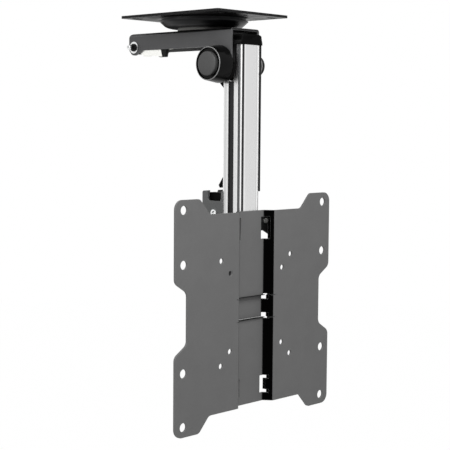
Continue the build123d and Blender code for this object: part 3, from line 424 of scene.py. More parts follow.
@dataclass(frozen=True)
class ProfileFinish(Finish):
    """Anodised satin profile, with painted highlights and painted reflections laid out across its section, and matt
    lines of painted dark reflection along its corners.

    Each stop is a distance in millimetres and a screen level of grey of painted reflection. A line of painted dark
    reflection is a band in metres.
    """

    front_face: float = -0.0633
    front_reflection_stops: tuple[Span, ...] = (
        (-14.0, 225), (-13.4, 252), (-12.2, 250), (-9.3, 215), (-8.6, 242), (-7.4, 226), (-6.4, 221), (7.4, 221),
        (8.4, 208), (9.0, 214), (9.7, 252), (11.4, 252), (12.2, 200), (14.0, 200))
    side_reflection_stops: tuple[Span, ...] = (
        (-63.8, 245), (-62.6, 240), (-59.4, 225), (-57.4, 214), (-56.0, 220), (-54.4, 200),
        (-47.4, 180), (-46.6, 232), (-44.8, 206), (-42.6, 202), (-41.6, 238), (-41.0, 238))
    dark_reflection_colour: Colour = srgb(22, 22, 23)
    side_dark_reflection_colour: Colour = srgb(72, 73, 74)
    side_dark_reflection: Span = (-0.06245, -0.05995)
    left_dark_reflection: Span = (-0.0122, -0.0096)
    right_dark_reflection: Span = (0.0117, 0.0150)
    dark_reflection_back: float = -0.0598
    soft: float = 0.0002

    def ramp(self, graph: Graph, value: Socket, stops: tuple[Span, ...]) -> Socket:
        """Grey levels of painted highlight and painted reflection along one face.

        Args:
            graph: Node tree of the material.
            value: Distance across the face, in metres.
            stops: Distances in millimetres with their levels.

        Returns:
            The colour.
        """
        low, high = stops[0][0], stops[-1][0]
        levels = graph.add("ValToRGB", Fac=graph.ranged(value, low / 1000, high / 1000))
        elements = levels.color_ramp.elements
        for element, (_, level) in zip(elements, (stops[0], stops[-1])):
            element.color = srgb(level, level, level)
        for distance, level in stops[1:-1]:
            elements.new((distance - low) / (high - low)).color = srgb(level, level, level)
        return levels.outputs["Color"]

    def within(self, graph: Graph, value: Socket, dark_line: Span) -> Socket:
        """Share of a line of painted dark reflection between its two limits, with soft edges."""
        return graph.band(value, (dark_line[0] - self.soft, dark_line[0]), (dark_line[1], dark_line[1] + self.soft))

    def marked(self, graph: Graph, shader: bpy.types.Node, colour: Socket) -> Socket:
        """Colour with the painted highlights and painted reflections of the section's faces times the slow drift, and
        its matt lines of painted dark reflection over that.

        Args:
            graph: Node tree of the material.
            shader: The surface shader.
            colour: The colour without marks.

        Returns:
            The colour with marks.
        """
        depth, across = graph.measured("Y"), graph.measured("X")
        seen = graph.band(depth, BEFORE, (self.front_face - self.soft, self.front_face))
        levels = graph.mixed(seen, self.ramp(graph, depth, self.side_reflection_stops),
                             self.ramp(graph, across, self.front_reflection_stops))
        plain = graph.mixed(1.0, levels, colour, "MULTIPLY")
        corner = graph.band(depth, BEFORE, (self.dark_reflection_back, self.dark_reflection_back + self.soft))
        either = graph.math("MAXIMUM", self.within(graph, across, self.left_dark_reflection),
                            self.within(graph, across, self.right_dark_reflection))
        front_dark_reflections = graph.math("MULTIPLY", corner, either)
        side_dark_reflections = self.within(graph, depth, self.side_dark_reflection)
        bare = graph.math("SUBTRACT", 1.0, graph.math("MAXIMUM", front_dark_reflections, side_dark_reflections))
        # Painted dark reflections: the lines lose their metal and turn matt.
        graph.feed(bare, shader.inputs["Metallic"])
        marked = graph.mixed(side_dark_reflections, plain, self.side_dark_reflection_colour)
        return graph.mixed(front_dark_reflections, marked, self.dark_reflection_colour)


BLACK_COAT = Finish("black_powder_coat", srgb(9, 9, 10), 0.15, 0.38, 0.06, Grain.PEEL, 0.0012, 0.00004,
                    edge_highlight=2.5, specular=0.14)
# Painted dark reflection of the ceiling plate on the web's top, and painted shade inside the channel.
ARM_COAT = BandedCoat("arm_powder_coat", srgb(80, 80, 81), 0.07, 0.42, 0.05, Grain.PEEL, 0.0010, 0.00003,
                      edge_highlight=1.3, specular=0.25, recess_shade=0.95, recess_reach=0.02, rise=(-0.0174, -0.0168))
PLATE_COAT = FoldedCoat("plate_powder_coat", srgb(104, 104, 104), 0.05, 0.48, 0.05, Grain.PEEL, 0.0009, 0.00003,
                        edge_highlight=0.35, specular=0.25)
# Painted shade on the ear flanges' front faces behind the plate's windows.
BRACKET_COAT = BandedCoat("bracket_powder_coat", srgb(86, 87, 87), 0.07, 0.45, 0.05, Grain.PEEL, 0.0009, 0.00003,
                          edge_highlight=0.6, specular=0.25, axis="Y", fall=(-0.0622, -0.0621),
                          shade_band_colour=srgb(6, 6, 6))
CASTING = Finish("black_casting", srgb(5, 5, 5), 0.15, 0.4, 0.06, Grain.CAST, 0.0006, 0.00002, edge_highlight=2.0,
                 specular=0.03)
# White aluminium carrying painted highlights and painted dark reflections across the profile.
ALUMINIUM = ProfileFinish("column_aluminium", (0.98, 0.98, 0.98, 1.0), 0.02, 0.3, 0.05, Grain.DRAWN, 0.0004, 0.000003,
                          metallic=1.0, patch=0.006, edge_round=0.0002)
STRIP = Finish("strip_plastic", srgb(26, 26, 27), 0.12, 0.5, 0.05, Grain.DRAWN, 0.0006, 0.00002, patch=0.01,
               specular=0.2)
CAP = Finish("cap_plastic", srgb(7, 7, 7), 0.1, 0.24, 0.05, Grain.SPARK, 0.0004, 0.00001, edge_highlight=1.5, specular=0.1)
# Painted highlight: the thin bright line on the caps' rims.
RIM_HIGHLIGHT = Finish("cap_rim_highlight", srgb(128, 128, 128), 0.1, 0.25, 0.05, Grain.SPARK, 0.0004, 0.000005, specular=0.4,
             slot_name="cap_plastic")
DISC = Finish("disc_plastic", srgb(66, 66, 66), 0.1, 0.4, 0.05, Grain.SPARK, 0.0004, 0.000012, specular=0.3)
GRIP = Finish("grip_plastic", srgb(10, 10, 10), 0.1, 0.55, 0.06, Grain.SPARK, 0.0005, 0.00004, specular=0.15)
# Painted shade in the screw sockets.
ZINC = Finish("zinc_steel", srgb(232, 233, 233), 0.04, 0.26, 0.08, Grain.PLATED, 0.0008, 0.000006, metallic=1.0,
              patch=0.004, edge_round=0.0002, recess_shade=1.0, recess_reach=0.002)
LEVER_ZINC = Finish("zinc_steel_bright", srgb(246, 246, 242), 0.02, 0.3, 0.05, Grain.PLATED, 0.0008, 0.000004,
                    metallic=1.0, patch=0.004, edge_round=0.0002, slot_name="zinc_steel")
SPRING = Finish("spring_steel", srgb(190, 191, 194), 0.06, 0.3, 0.06, Grain.PLATED, 0.0006, 0.000004, metallic=1.0,
                patch=0.002, edge_round=0.0001)
# Painted shade in the narrow gaps round the swivel.
SWIVEL_NYLON = Finish("swivel_nylon", srgb(120, 120, 117), 0.05, 0.5, 0.05, Grain.SPARK, 0.0006, 0.00001,
                      patch=0.008, recess_shade=0.8, recess_reach=0.012, specular=0.3)
HINGE_NYLON = Finish("hinge_nylon", srgb(190, 190, 186), 0.04, 0.5, 0.05, Grain.SPARK, 0.0006, 0.00001, patch=0.006)
BRONZE = Finish("bush_bronze", srgb(176, 128, 82), 0.1, 0.35, 0.08, Grain.PLATED, 0.0007, 0.000008, metallic=1.0,
                patch=0.003, edge_round=0.0002)
# Painted shade: dark blocks in the plate's slits, where only shade shows.
SLIT_SHADE = Finish("slit_shade_block", srgb(20, 20, 20), 0.1, 0.6, 0.05, Grain.PEEL, 0.0008, 0.00002, specular=0.1,
              slot_name="bracket_powder_coat")


def clear_selection() -> None:
    """Leave edit mode and deselect every object."""
    if bpy.context.object is not None and bpy.context.object.mode != "OBJECT":
        bpy.ops.object.mode_set(mode="OBJECT")
    bpy.ops.object.select_all(action="DESELECT")


def activate(piece: bpy.types.Object) -> None:
    """Make a piece the only one that is selected.

    Args:
        piece: The piece.
    """
    clear_selection()
    piece.select_set(True)
    bpy.context.view_layer.objects.active = piece


@contextmanager
def editing(piece: bpy.types.Object, everything: bool = True) -> Iterator[None]:
    """Open a piece in edit mode, and leave it in object mode.

    Args:
        piece: The piece.
        everything: Whether all of it is selected; else what is selected already stays so.

    Yields:
        Nothing; the piece is open meanwhile.
    """
    activate(piece)
    bpy.ops.object.mode_set(mode="EDIT")
    if everything:
        bpy.ops.mesh.select_all(action="SELECT")
    yield
    bpy.ops.object.mode_set(mode="OBJECT")


def settle_mesh(piece: bpy.types.Object) -> bpy.types.Object:
    """Put a piece's place, turn and size into its mesh.

    Args:
        piece: The piece.

    Returns:
        The same piece.
    """
    activate(piece)
    bpy.ops.object.transform_apply(location=True, rotation=True, scale=True)
    return piece


def finished(piece: bpy.types.Object, name: str, finish: Finish, body: Body | None,
             *nodes: str) -> bpy.types.Object:
    """Settle a piece, shade it smooth up to its edges, dress it, and let it ride and stand for its nodes.

    Args:
        piece: The piece, in object mode.
        name: Its name.
        finish: Its finish, whose name is a material slot of the record unless it names another slot.
        body: The body that it rides on, or None where it rides on none.
        nodes: The nodes that it stands for.

    Returns:
        The same piece.
    """
    settle_mesh(piece)
    bpy.ops.object.shade_smooth_by_angle(angle=SMOOTH_ANGLE)
    piece.name = name
    piece.data.materials.clear()
    piece.data.materials.append(finish.material())
    if nodes:
        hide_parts(*nodes)
    if body is not None:
        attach(piece, body.value)
    log.info("piece %s: %d faces, finish %s", name, len(piece.data.polygons), finish.name)
    return piece


def join(pieces: list[bpy.types.Object]) -> bpy.types.Object:
    """Join pieces into the first of them.

    Args:
        pieces: The pieces, of which the first one stays.

    Returns:
        The joined piece.
    """
    clear_selection()
    for piece in pieces:
        piece.select_set(True)
    bpy.context.view_layer.objects.active = pieces[0]
    bpy.ops.object.join()
    return pieces[0]


def pick_faces(piece: bpy.types.Object, wanted: Callable[[bpy.types.MeshPolygon], bool]) -> None:
    """Select the faces that a test names, and no others.

    Args:
        piece: The piece, in object mode.
        wanted: Test of one face.
    """
    for part in (*piece.data.vertices, *piece.data.edges):
        part.select = False
    for face in piece.data.polygons:
        face.select = wanted(face)


def close_up(piece: bpy.types.Object) -> bpy.types.Object:
    """Merge doubled points and turn all faces outwards.

    Args:
        piece: The piece.

    Returns:
        The same piece.
    """
    with editing(piece):
        bpy.ops.mesh.remove_doubles(threshold=1e-6)
        bpy.ops.mesh.normals_make_consistent(inside=False)
    return piece


def bevel_edges(piece: bpy.types.Object, width: float, segments: int = 2) -> bpy.types.Object:
    """Round every sharp edge.

    Args:
        piece: The piece.
        width: Width of the rounding in metres.
        segments: Faces across it.

    Returns:
        The same piece.
    """
    activate(piece)
    bevel = piece.modifiers.new("edges", "BEVEL")
    bevel.width = width
    bevel.segments = segments
    bevel.limit_method = "ANGLE"
    bevel.angle_limit = BEVEL_ANGLE
    bpy.ops.object.modifier_apply(modifier=bevel.name)
    return piece


def ring(radius: float, centre: Vector, turn: Triple = (0, 0, 0), sides: int = 10,
         fill: str = "NOTHING") -> bpy.types.Object:
    """A circle of points, open or filled, as the start of a piece.

    Args:
        radius: Its radius in metres.
        centre: Its centre in metres.
        turn: Its rotation from flat, in radians.
        sides: How many sides it has.
        fill: Whether a face fills it.

    Returns:
        The ring.
    """
    clear_selection()
    bpy.ops.mesh.primitive_circle_add(vertices=sides, radius=radius, fill_type=fill, location=centre,
                                      rotation=turn)
    return bpy.context.object


def turned(stations: tuple[Span, ...], axis: Span, side: int, sides: int = 72) -> bpy.types.Object:
    """Turn a piece about an axis along X by extruding a disc from station to station.

    Args:
        stations: Distance from the middle plane and radius of each step, in millimetres.
        axis: Y and Z of the axis in metres.
        side: 1 for +X, -1 for -X.
        sides: Faces round it.

    Returns:
        The closed piece.
    """
    first, radius = stations[0]
    start = Vector((side * first / 1000, *axis))
    piece = settle_mesh(ring(radius / 1000, start, (0, math.pi / 2, 0), sides, "NGON"))
    with editing(piece):
        for distance, wide in stations[1:]:
            step = side * (distance - first) / 1000
            bpy.ops.mesh.extrude_region_move(TRANSFORM_OT_translate={"value": (step, 0, 0)})
            share = wide / radius
            bpy.ops.transform.resize(value=(1, share, share), center_override=(0, *axis))
            first, radius = distance, wide
    return close_up(piece)


def copied(node: str) -> bpy.types.Object:
    """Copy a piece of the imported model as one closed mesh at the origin, free to be reshaped.

    Args:
        node: Its name.

    Returns:
        The copy.
    """
    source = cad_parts[node]
    piece = source.copy()
    piece.data = source.data.copy()
    bpy.context.scene.collection.objects.link(piece)
    piece.parent = None
    piece.matrix_world = Matrix.Identity(4)
    return close_up(piece)


def pick_points(piece: bpy.types.Object, wanted: Callable[[Vector], bool]) -> None:
    """Select the points that a test names, and no others.

    Args:
        piece: The piece, in object mode.
        wanted: Test of one point, in metres.
    """
    with editing(piece):
        bpy.ops.mesh.select_all(action="DESELECT")
        bpy.ops.mesh.select_mode(type="VERT")
    for vertex in piece.data.vertices:
        vertex.select = wanted(vertex.co)


def shifted(piece: bpy.types.Object, wanted: Callable[[Vector], bool], offset: Triple) -> None:
    """Move the points that a test names.

    Args:
        piece: The piece, in object mode.
        wanted: Test of one point, in metres.
        offset: How far they move, in millimetres.
    """
    pick_points(piece, wanted)
    with editing(piece, everything=False):
        bpy.ops.transform.translate(value=Vector(offset) / 1000)


def scaled(piece: bpy.types.Object, wanted: Callable[[Vector], bool], scale: Triple, centre: Triple) -> None:
    """Scale the points that a test names about a centre.

    Args:
        piece: The piece, in object mode.
        wanted: Test of one point, in metres.
        scale: Scale along each axis.
        centre: The centre in millimetres.
    """
    pick_points(piece, wanted)
    with editing(piece, everything=False):
        bpy.ops.transform.resize(value=scale, center_override=Vector(centre) / 1000)


def seated(node: str, finish: Finish, body: Body) -> None:
    """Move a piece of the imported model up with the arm's web.

    Args:
        node: Its name.
        finish: Its finish.
        body: The body that it rides on.
    """
    piece = copied(node)
    shifted(piece, lambda point: True, (0, 0, WEB_RISE))
    finished(piece, f"seated_{node}", finish, body, node)


def block(low: Triple, high: Triple) -> bpy.types.Object:
    """Add a box as the start of a piece.

    Args:
        low: Its lowest corner in millimetres.
        high: Its highest corner in millimetres.

    Returns:
        The box.
    """
    clear_selection()
    first, last = Vector(low) / 1000, Vector(high) / 1000
    bpy.ops.mesh.primitive_cube_add(size=1, location=(first + last) / 2, scale=last - first)
    return settle_mesh(bpy.context.object)


@dataclass
class SubAssembly:
    """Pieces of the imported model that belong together, each with its finish.

    Axes, radii, roundings, recesses and the limits that points are tested against are in metres;
    corners, stations, heights and moves are in millimetres.
    """

    finishes: dict[str, Finish] = field(default_factory=dict)

    def dress(self) -> None:
        """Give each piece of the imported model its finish."""
        for name, finish in self.finishes.items():
            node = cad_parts[name]
            for slot in node.material_slots:
                slot.material = finish.material()
            log.info("piece %s dressed as %s", name, finish.name)

    def build(self) -> None:
        """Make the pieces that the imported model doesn't hold in their full form."""


@dataclass
class CeilingSide(SubAssembly):
    """Ceiling plate with the swivel bolt that stays with it."""

    finishes: dict[str, Finish] = field(default_factory=lambda: {
        "ceiling_plate": BLACK_COAT,
        "swivel_bolt": ZINC,
        "swivel_head_washer": ZINC,
        "swivel_nut": ZINC,
        "swivel_nut_washer": ZINC,
    })
    sheet_back: float = -2.5
    dish_share: float = 0.756
    dish_spread: float = 1.12
    floor_share: float = 0.45
    bolt_zone: float = 0.018
    corner_start: Span = (0.0424, 0.0594)
    corner: Span = (50.5, 67.5)
    corner_share: float = 0.35

    def build(self) -> None:
        """Press the dish a little flatter, square up the plate's corners and seat the bolt in it."""
        plate = copied("ceiling_plate")
        scaled(plate, lambda point: point.z < self.sheet_back / 1000 - 1e-5, (1, 1, self.dish_share),
               (0, 0, self.sheet_back))
        depth = self.floor_share * min(vertex.co.z for vertex in plate.data.vertices)
        scaled(plate, lambda point: point.z < depth and math.hypot(point.x, point.y) > self.bolt_zone,
               (self.dish_spread, self.dish_spread, 1), (0, 0, 0))
        across, along = self.corner_start
        for side in (-1, 1):
            for end in (-1, 1):
                scaled(plate, lambda point: side * point.x > across and end * point.y > along,
                       (self.corner_share, self.corner_share, 1),
                       (side * self.corner[0], end * self.corner[1], 0))
        finished(plate, "pressed_ceiling_plate", BLACK_COAT, Body.CEILING, "ceiling_plate")
        for node in ("swivel_bolt", "swivel_head_washer", "swivel_nut", "swivel_nut_washer"):
            seated(node, ZINC, Body.CEILING)


@dataclass
class Arm(SubAssembly):
    """Folded channel under the ceiling plate, with its hinge and its caps."""

    finishes: dict[str, Finish] = field(default_factory=lambda: {
        "swivel_disc": SWIVEL_NYLON,
        "swivel_slip_washer": SWIVEL_NYLON,
        "arm_channel": ARM_COAT,
        "pivot_bolt": ZINC,
        "pivot_nut": ZINC,
        "pivot_washers": ZINC,
        "pivot_disc_springs": SPRING,
        "hinge_washers": HINGE_NYLON,
        "hinge_cap_left": CAP,
        "hinge_cap_right": CAP,
        "cap_disc_left": DISC,
        "cap_disc_right": DISC,
        "latch_pivot_screws": ZINC,
        "latch_washers": ZINC,
        "latch_spring": SPRING,
    })
    cap_axis: Span = (-0.0405, -0.0496)
    latch_axis: Span = (0.080, -0.0292)
    web_bend: float = -0.0242
    wall_edge: Span = (-0.0347, -0.0343)
    wall_start: float = -0.0255
    wall_rise: float = 2.1
    # Where the caps' rims carry a painted highlight.
    left_rim_highlight: Triple = (0.0356, 0.0364, 0.0152)
    right_rim_highlight: Triple = (0.0298, 0.0312, 0.0103)
    left_cup: tuple[Span, ...] = (
        (29.5, 11.0), (29.5, 13.4), (20.0, 15.2), (20.0, 18.2), (20.8, 18.2), (35.6, 16.1), (36.0, 15.7),
        (36.0, 15.3), (35.7, 15.1), (33.6, 14.8), (33.6, 12.0), (33.6, 6.0))
    left_disc: tuple[Span, ...] = (
        (33.6, 6.0), (33.6, 11.6), (37.3, 11.6), (37.7, 11.3), (37.9, 10.7), (38.0, 5.0))
    right_cup: tuple[Span, ...] = (
        (29.6, 9.4), (20.0, 10.0), (20.0, 12.6), (21.0, 12.6), (29.8, 10.6), (31.2, 10.6), (31.3, 10.4),
        (34.4, 10.4), (34.9, 10.1), (35.2, 9.2), (35.2, 7.0), (34.4, 6.8), (34.4, 4.0))
    right_disc: tuple[Span, ...] = (
        (34.4, 4.0), (34.4, 6.4), (35.3, 6.4), (35.6, 6.1), (35.6, 3.0))
    pin_neck: tuple[Span, ...] = (
        (21.0, 2.0), (21.0, 3.9), (22.2, 3.9), (22.6, 3.5), (22.6, 2.3), (26.4, 2.3), (26.4, 1.0))
    pin_head: tuple[Span, ...] = (
        (26.4, 1.0), (26.4, 2.3), (26.7, 2.6), (28.2, 2.6), (28.7, 2.2), (28.7, 1.2), (27.8, 1.1), (27.8, 0.5))

    def build(self) -> None:
        """Fold the arm, and turn the cap cups with their discs and the latch pivot's pins, one per side."""
        self.channel()
        for side, label, cup_stations, disc_stations, rim in (
                (-1, "left", self.left_cup, self.left_disc, self.left_rim_highlight),
                (1, "right", self.right_cup, self.right_disc, self.right_rim_highlight)):
            cup = bevel_edges(turned(cup_stations, self.cap_axis, side), 0.00008)
            finished(cup, f"cap_cup_{label}", CAP, Body.ARM, f"hinge_cap_{label}")
            self.paint_rim_highlight(cup, rim)
            disc = bevel_edges(turned(disc_stations, self.cap_axis, side), 0.00015)
            finished(disc, f"cap_face_{label}", DISC, Body.ARM, f"cap_disc_{label}")
            neck = bevel_edges(turned(self.pin_neck, self.latch_axis, side, 40), 0.0001)
            finished(neck, f"latch_pin_neck_{label}", GRIP, Body.ARM, "latch_pivot_screws")
            head = bevel_edges(turned(self.pin_head, self.latch_axis, side, 40), 0.0001)
            finished(head, f"latch_pin_head_{label}", ZINC, Body.ARM)

    def paint_rim_highlight(self, cup: bpy.types.Object, rim: Triple) -> None:
        """Paint a highlight on a cup's rim with a lighter finish of its own.

        Args:
            cup: The cup.
            rim: Nearest and furthest distance from the middle plane and least radius, in metres.
        """
        cup.data.materials.append(RIM_HIGHLIGHT.material())
        for face in cup.data.polygons:
            radius = math.hypot(face.center.y - self.cap_axis[0], face.center.z - self.cap_axis[1])
            if rim[0] < abs(face.center.x) < rim[1] and radius > rim[2]:
                face.material_index = 1

    def channel(self) -> None:
        """Fold the arm with its web close under the dish, and seat the discs that it swivels on."""
        arm = copied("arm_channel")
        shifted(arm, lambda point: point.z > self.web_bend, (0, 0, WEB_RISE))
        low, high = self.wall_edge
        shifted(arm, lambda point: low < point.z < high and point.y > self.wall_start, (0, 0, self.wall_rise))
        finished(arm, "folded_arm", ARM_COAT, Body.ARM, "arm_channel")
        for node in ("swivel_disc", "swivel_slip_washer"):
            seated(node, SWIVEL_NYLON, Body.ARM)


@dataclass
class Latch(SubAssembly):
    """Lever at the arm's far end with its grip and its spring."""

    finishes: dict[str, Finish] = field(default_factory=lambda: {
        "latch_lever": LEVER_ZINC,
        "latch_grip": GRIP,
    })
    coil_radius: float = 0.0024
    wire_radius: float = 0.0004
    coil_turns: int = 4
    coil_pitch: float = 1.18
    far_side: float = 0.0155
    far_wall: tuple[Span, ...] = ((0.0715, -28.0), (0.0785, -30.3))
    pad_low: Triple = (-18.9, 34.0, -40.0)
    pad_high: Triple = (-14.2, 42.6, -31.6)
    pad_taper: Triple = (0.85, 0.55, 1)
    thumb_rim: float = 0.0012
    thumb_recess: float = 0.0005
    eye_size: float = 0.62
    eye_bend: float = 300.0

    def build(self) -> None:
        """Wind the spring, press the lever, and mould the finger pad on its handle."""
        self.spring()
        self.lever()
        self.finger_pad()

    def lever(self) -> None:
        """Press the lever with a shallow far wall, which stays inside the arm."""
        piece = copied("latch_lever")
        for end, depth in self.far_wall:
            scaled(piece, lambda point: point.x > self.far_side and point.z < depth / 1000 and point.y < end,
                   (1, 1, 0), (0, 0, depth))
        finished(piece, "pressed_lever", LEVER_ZINC, Body.LATCH, "latch_lever")

    def finger_pad(self) -> None:
        """Mould the pad: a block that narrows downwards, with rounded edges and a shallow thumb recess."""
        pad = block(self.pad_low, self.pad_high)
        middle = (Vector(self.pad_low) + Vector(self.pad_high)) / 2000
        pick_faces(pad, lambda face: face.normal.z < -0.9)
        with editing(pad, everything=False):
            bpy.ops.transform.resize(value=self.pad_taper,
                                     center_override=(middle.x, middle.y, self.pad_low[2] / 1000))
        pick_faces(pad, lambda face: face.normal.x < -0.9)
        with editing(pad, everything=False):
            bpy.ops.mesh.inset(thickness=self.thumb_rim)
            bpy.ops.transform.translate(value=(self.thumb_recess, 0, 0))
        finished(bevel_edges(pad, 0.0005, 3), "handle_pad", GRIP, Body.LATCH, "latch_grip")

    def spring(self) -> None:
        """Wind the tension spring from the arm's web to the lever."""
        low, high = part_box("latch_spring")
        high.z += WEB_RISE / 1000
        middle = (low + high) / 2
        height = 2 * self.wire_radius * self.coil_pitch * self.coil_turns
        wires = [self.wind(middle, height), self.hook(middle, height, 1, high.z),
                 self.hook(middle, height, -1, low.z)]
        spring = finished(join(wires), "latch_tension_spring", SPRING, None, "latch_spring")
        bpy.ops.object.shade_smooth()
        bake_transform(spring)

    def cap_wire(self, wire: bpy.types.Object, tolerance: float) -> None:
        """Close the ends of a wire.

        Args:
            wire: The wire.
            tolerance: How close points are that are one, or 0 where none are doubled.
        """
        with editing(wire):
            if tolerance:
                bpy.ops.mesh.remove_doubles(threshold=tolerance)
            bpy.ops.mesh.fill_holes(sides=12)
            bpy.ops.mesh.normals_make_consistent(inside=False)

    def wind(self, middle: Vector, height: float) -> bpy.types.Object:
        """Wind the close coil round the middle.

        Args:
            middle: Centre of the coil.
            height: Height of its turns.

        Returns:
            The coil as a mesh.
        """
        coil = settle_mesh(ring(self.wire_radius, Vector((self.coil_radius, 0, 0)), (math.pi / 2, 0, 0)))
        turns = coil.modifiers.new("turns", "SCREW")
        turns.axis = "Z"
        turns.steps = turns.render_steps = 28
        turns.iterations = self.coil_turns
        turns.screw_offset = height / self.coil_turns
        bpy.ops.object.modifier_apply(modifier=turns.name)
        self.cap_wire(coil, 1e-7)
        coil.location = (middle.x, middle.y, middle.z - height / 2)
        return coil

    def hook(self, middle: Vector, height: float, side: int, end: float) -> bpy.types.Object:
        """Bend one end hook: straight from the coil's middle, then round to a closed eye.

        Args:
            middle: Centre of the coil.
            height: Height of its turns.
            side: 1 for the upper hook, -1 for the lower one.
            end: Height of the hook's far end.

        Returns:
            The hook as a mesh.
        """
        start = Vector((middle.x, middle.y, middle.z + side * height / 2))
        eye_radius = min(self.coil_radius * self.eye_size, abs(end - start.z) / 2 - self.wire_radius)
        centre = Vector((middle.x, middle.y, end - side * (eye_radius + self.wire_radius)))
        foot = Vector((centre.x, centre.y, centre.z - side * eye_radius))
        eye = ring(self.wire_radius, foot, (0, math.pi / 2, 0))
        with editing(eye):
            bpy.ops.mesh.spin(steps=20, angle=math.radians(self.eye_bend), center=centre, axis=(1, 0, 0))
        stem = ring(self.wire_radius, foot)
        with editing(stem):
            for step in (start - foot, Vector((self.coil_radius, 0, 0))):
                bpy.ops.mesh.extrude_region_move(TRANSFORM_OT_translate={"value": step})
        made = join([eye, stem])
        self.cap_wire(made, 0)
        return made


@dataclass
class Column(SubAssembly):
    """Aluminium column with the hinge head, its strips and the catch."""

    finishes: dict[str, Finish] = field(default_factory=lambda: {
        "column_extrusion": ALUMINIUM,
        "groove_strip_left": STRIP,
        "groove_strip_right": STRIP,
        "hinge_head": CASTING,
        "hinge_bush": BRONZE,
        "head_screws": ZINC,
        "column_end_plug": CAP,
        "catch_hook": CASTING,
        "catch_screw": ZINC,
        "slot_nuts": ZINC,
    })
    dark_reflection_strip_low: Triple = (13.6, -63.9, -172.3)
    dark_reflection_strip_high: Triple = (16.1, -59.4, -30.9)
    dark_reflection_strip_corner: Span = (0.016, -0.0638)
    dark_reflection_strip_round: float = 0.0022
    crown: Span = (-0.0263, 0.0142)
    crown_rise: float = 3.3
    rim: Span = (-0.033, -0.032)
    rim_rise: float = 1.5

    def build(self) -> None:
        """Lay a dark strip of painted reflection over the column's right front corner, and raise the profile's top
        and the head's crown.
        """
        self.dark_reflection_strip()
        profile = copied("column_extrusion")
        shifted(profile, lambda point: point.z > self.rim[0], (0, 0, self.rim_rise))
        finished(profile, "drawn_profile", ALUMINIUM, Body.COLUMN, "column_extrusion")
        head = copied("hinge_head")
        shifted(head, lambda point: point.z > self.crown[0] and abs(point.x) < self.crown[1],
                (0, 0, self.crown_rise))
        shifted(head, lambda point: self.rim[0] < point.z < self.rim[1], (0, 0, self.rim_rise))
        finished(head, "cast_head", CASTING, Body.COLUMN, "hinge_head")

    def dark_reflection_strip(self) -> None:
        """Lay a dark strip of painted reflection over the right front corner, rounded on its outside."""
        # Painted dark reflection: a dark strip where the rounded corner mirrors dark surroundings.
        dark_reflection_strip = block(self.dark_reflection_strip_low, self.dark_reflection_strip_high)
        pick_faces(dark_reflection_strip, lambda face: False)
        for vertex in dark_reflection_strip.data.vertices:
            vertex.select = vertex.co.x > self.dark_reflection_strip_corner[0] and vertex.co.y < self.dark_reflection_strip_corner[1]
        for edge in dark_reflection_strip.data.edges:
            edge.select = all(dark_reflection_strip.data.vertices[index].select for index in edge.vertices)
        with editing(dark_reflection_strip, everything=False):
            bpy.ops.mesh.select_mode(type="EDGE")
            bpy.ops.mesh.bevel(offset=self.dark_reflection_strip_round, segments=6)
        finished(close_up(dark_reflection_strip), "corner_dark_reflection", STRIP, Body.COLUMN)


@dataclass
class TelevisionSide(SubAssembly):
    """Television plate with the bracket that clamps it to the column."""

    finishes: dict[str, Finish] = field(default_factory=lambda: {
        "head_bracket": BRACKET_COAT,
        "locating_studs": LEVER_ZINC,
        "clamp_block": CASTING,
        "clamp_screws": ZINC,
        "bracket_screws": ZINC,
        "vesa_plate": PLATE_COAT,
    })
    pad_reach: Span = (5.6, 13.7)
    pad_low: Span = (-40.6, -183.4)
    pad_high: Span = (-22.4, -173.9)
    pad_rim: float = 0.0018
    pad_recess: float = 0.002
    pad_face: float = 0.00013
    slit_heights: Span = (-274.45, -296.55)
    slit_half: float = 0.26
    slit_reach: float = 19.4
    slit_depth: Span = (-67.6, -63.9)
    step_reach: Span = (22.5, 27.0)
    step_depth: Span = (-73.9, -67.2)
    step_middle: Span = (0.02475, -0.07)
    step_slant: Span = (3.3, -4.9)

    def build(self) -> None:
        """Mould black blocks of painted shade in the bracket's notches, and lay dark blocks of painted shade in the
        plate's two slits.
        """
        sides = ((-1, "left"), (1, "right"))
        for side, label in sides:
            self.notch_shade_block(side, label)
        for number, height in enumerate(self.slit_heights, 1):
            # Painted shade: a dark block fills the slit across the web.
            strip = block((-self.slit_reach, self.slit_depth[0], height - self.slit_half),
                          (self.slit_reach, self.slit_depth[1], height + self.slit_half))
            finished(bevel_edges(strip, 0.0001), f"slit_filler_{number}", SLIT_SHADE, Body.COLUMN)
            for side, label in sides:
                self.step_slit_shade(side, height, f"wall_filler_{label}_{number}")

    def notch_shade_block(self, hand: int, label: str) -> None:
        """Mould one black block of painted shade, with a recess in both of its side faces.

        Args:
            hand: 1 for +X, -1 for -X.
            label: The side's name.
        """
        near, far = sorted(hand * reach for reach in self.pad_reach)
        # Painted shade: a black block where the notch shows shade.
        pad = block((near, *self.pad_low), (far, *self.pad_high))
        pick_faces(pad, lambda face: abs(face.normal.x) > 0.9)
        with editing(pad, everything=False):
            bpy.ops.mesh.inset(thickness=self.pad_rim, use_individual=True)
        for side in (-1, 1):
            pick_faces(pad, lambda face: face.normal.x * side > 0.9 and face.area < self.pad_face)
            with editing(pad, everything=False):
                bpy.ops.mesh.extrude_region_move(
                    TRANSFORM_OT_translate={"value": (-side * self.pad_recess, 0, 0)})
        finished(bevel_edges(pad, 0.0004, 3), f"notch_pad_{label}", CASTING, Body.COLUMN)

    def step_slit_shade(self, side: int, height: float, name: str) -> None:
        """Lay the dark block of painted shade of one slit in one slanted step wall.

        Args:
            side: 1 for +X, -1 for -X.
            height: The slit's height in millimetres.
            name: Name of the filler.
        """
        near, far = sorted(side * reach for reach in self.step_reach)
        wall = block((near, self.step_depth[0], height - self.slit_half),
                     (far, self.step_depth[1], height + self.slit_half))
        across, deep = self.step_middle
        shifted(wall, lambda point: abs(point.x) < across and point.y < deep, (0, self.step_slant[0], 0))
        shifted(wall, lambda point: abs(point.x) > across and point.y > deep, (0, self.step_slant[1], 0))
        finished(bevel_edges(wall, 0.0001), name, SLIT_SHADE, Body.COLUMN)


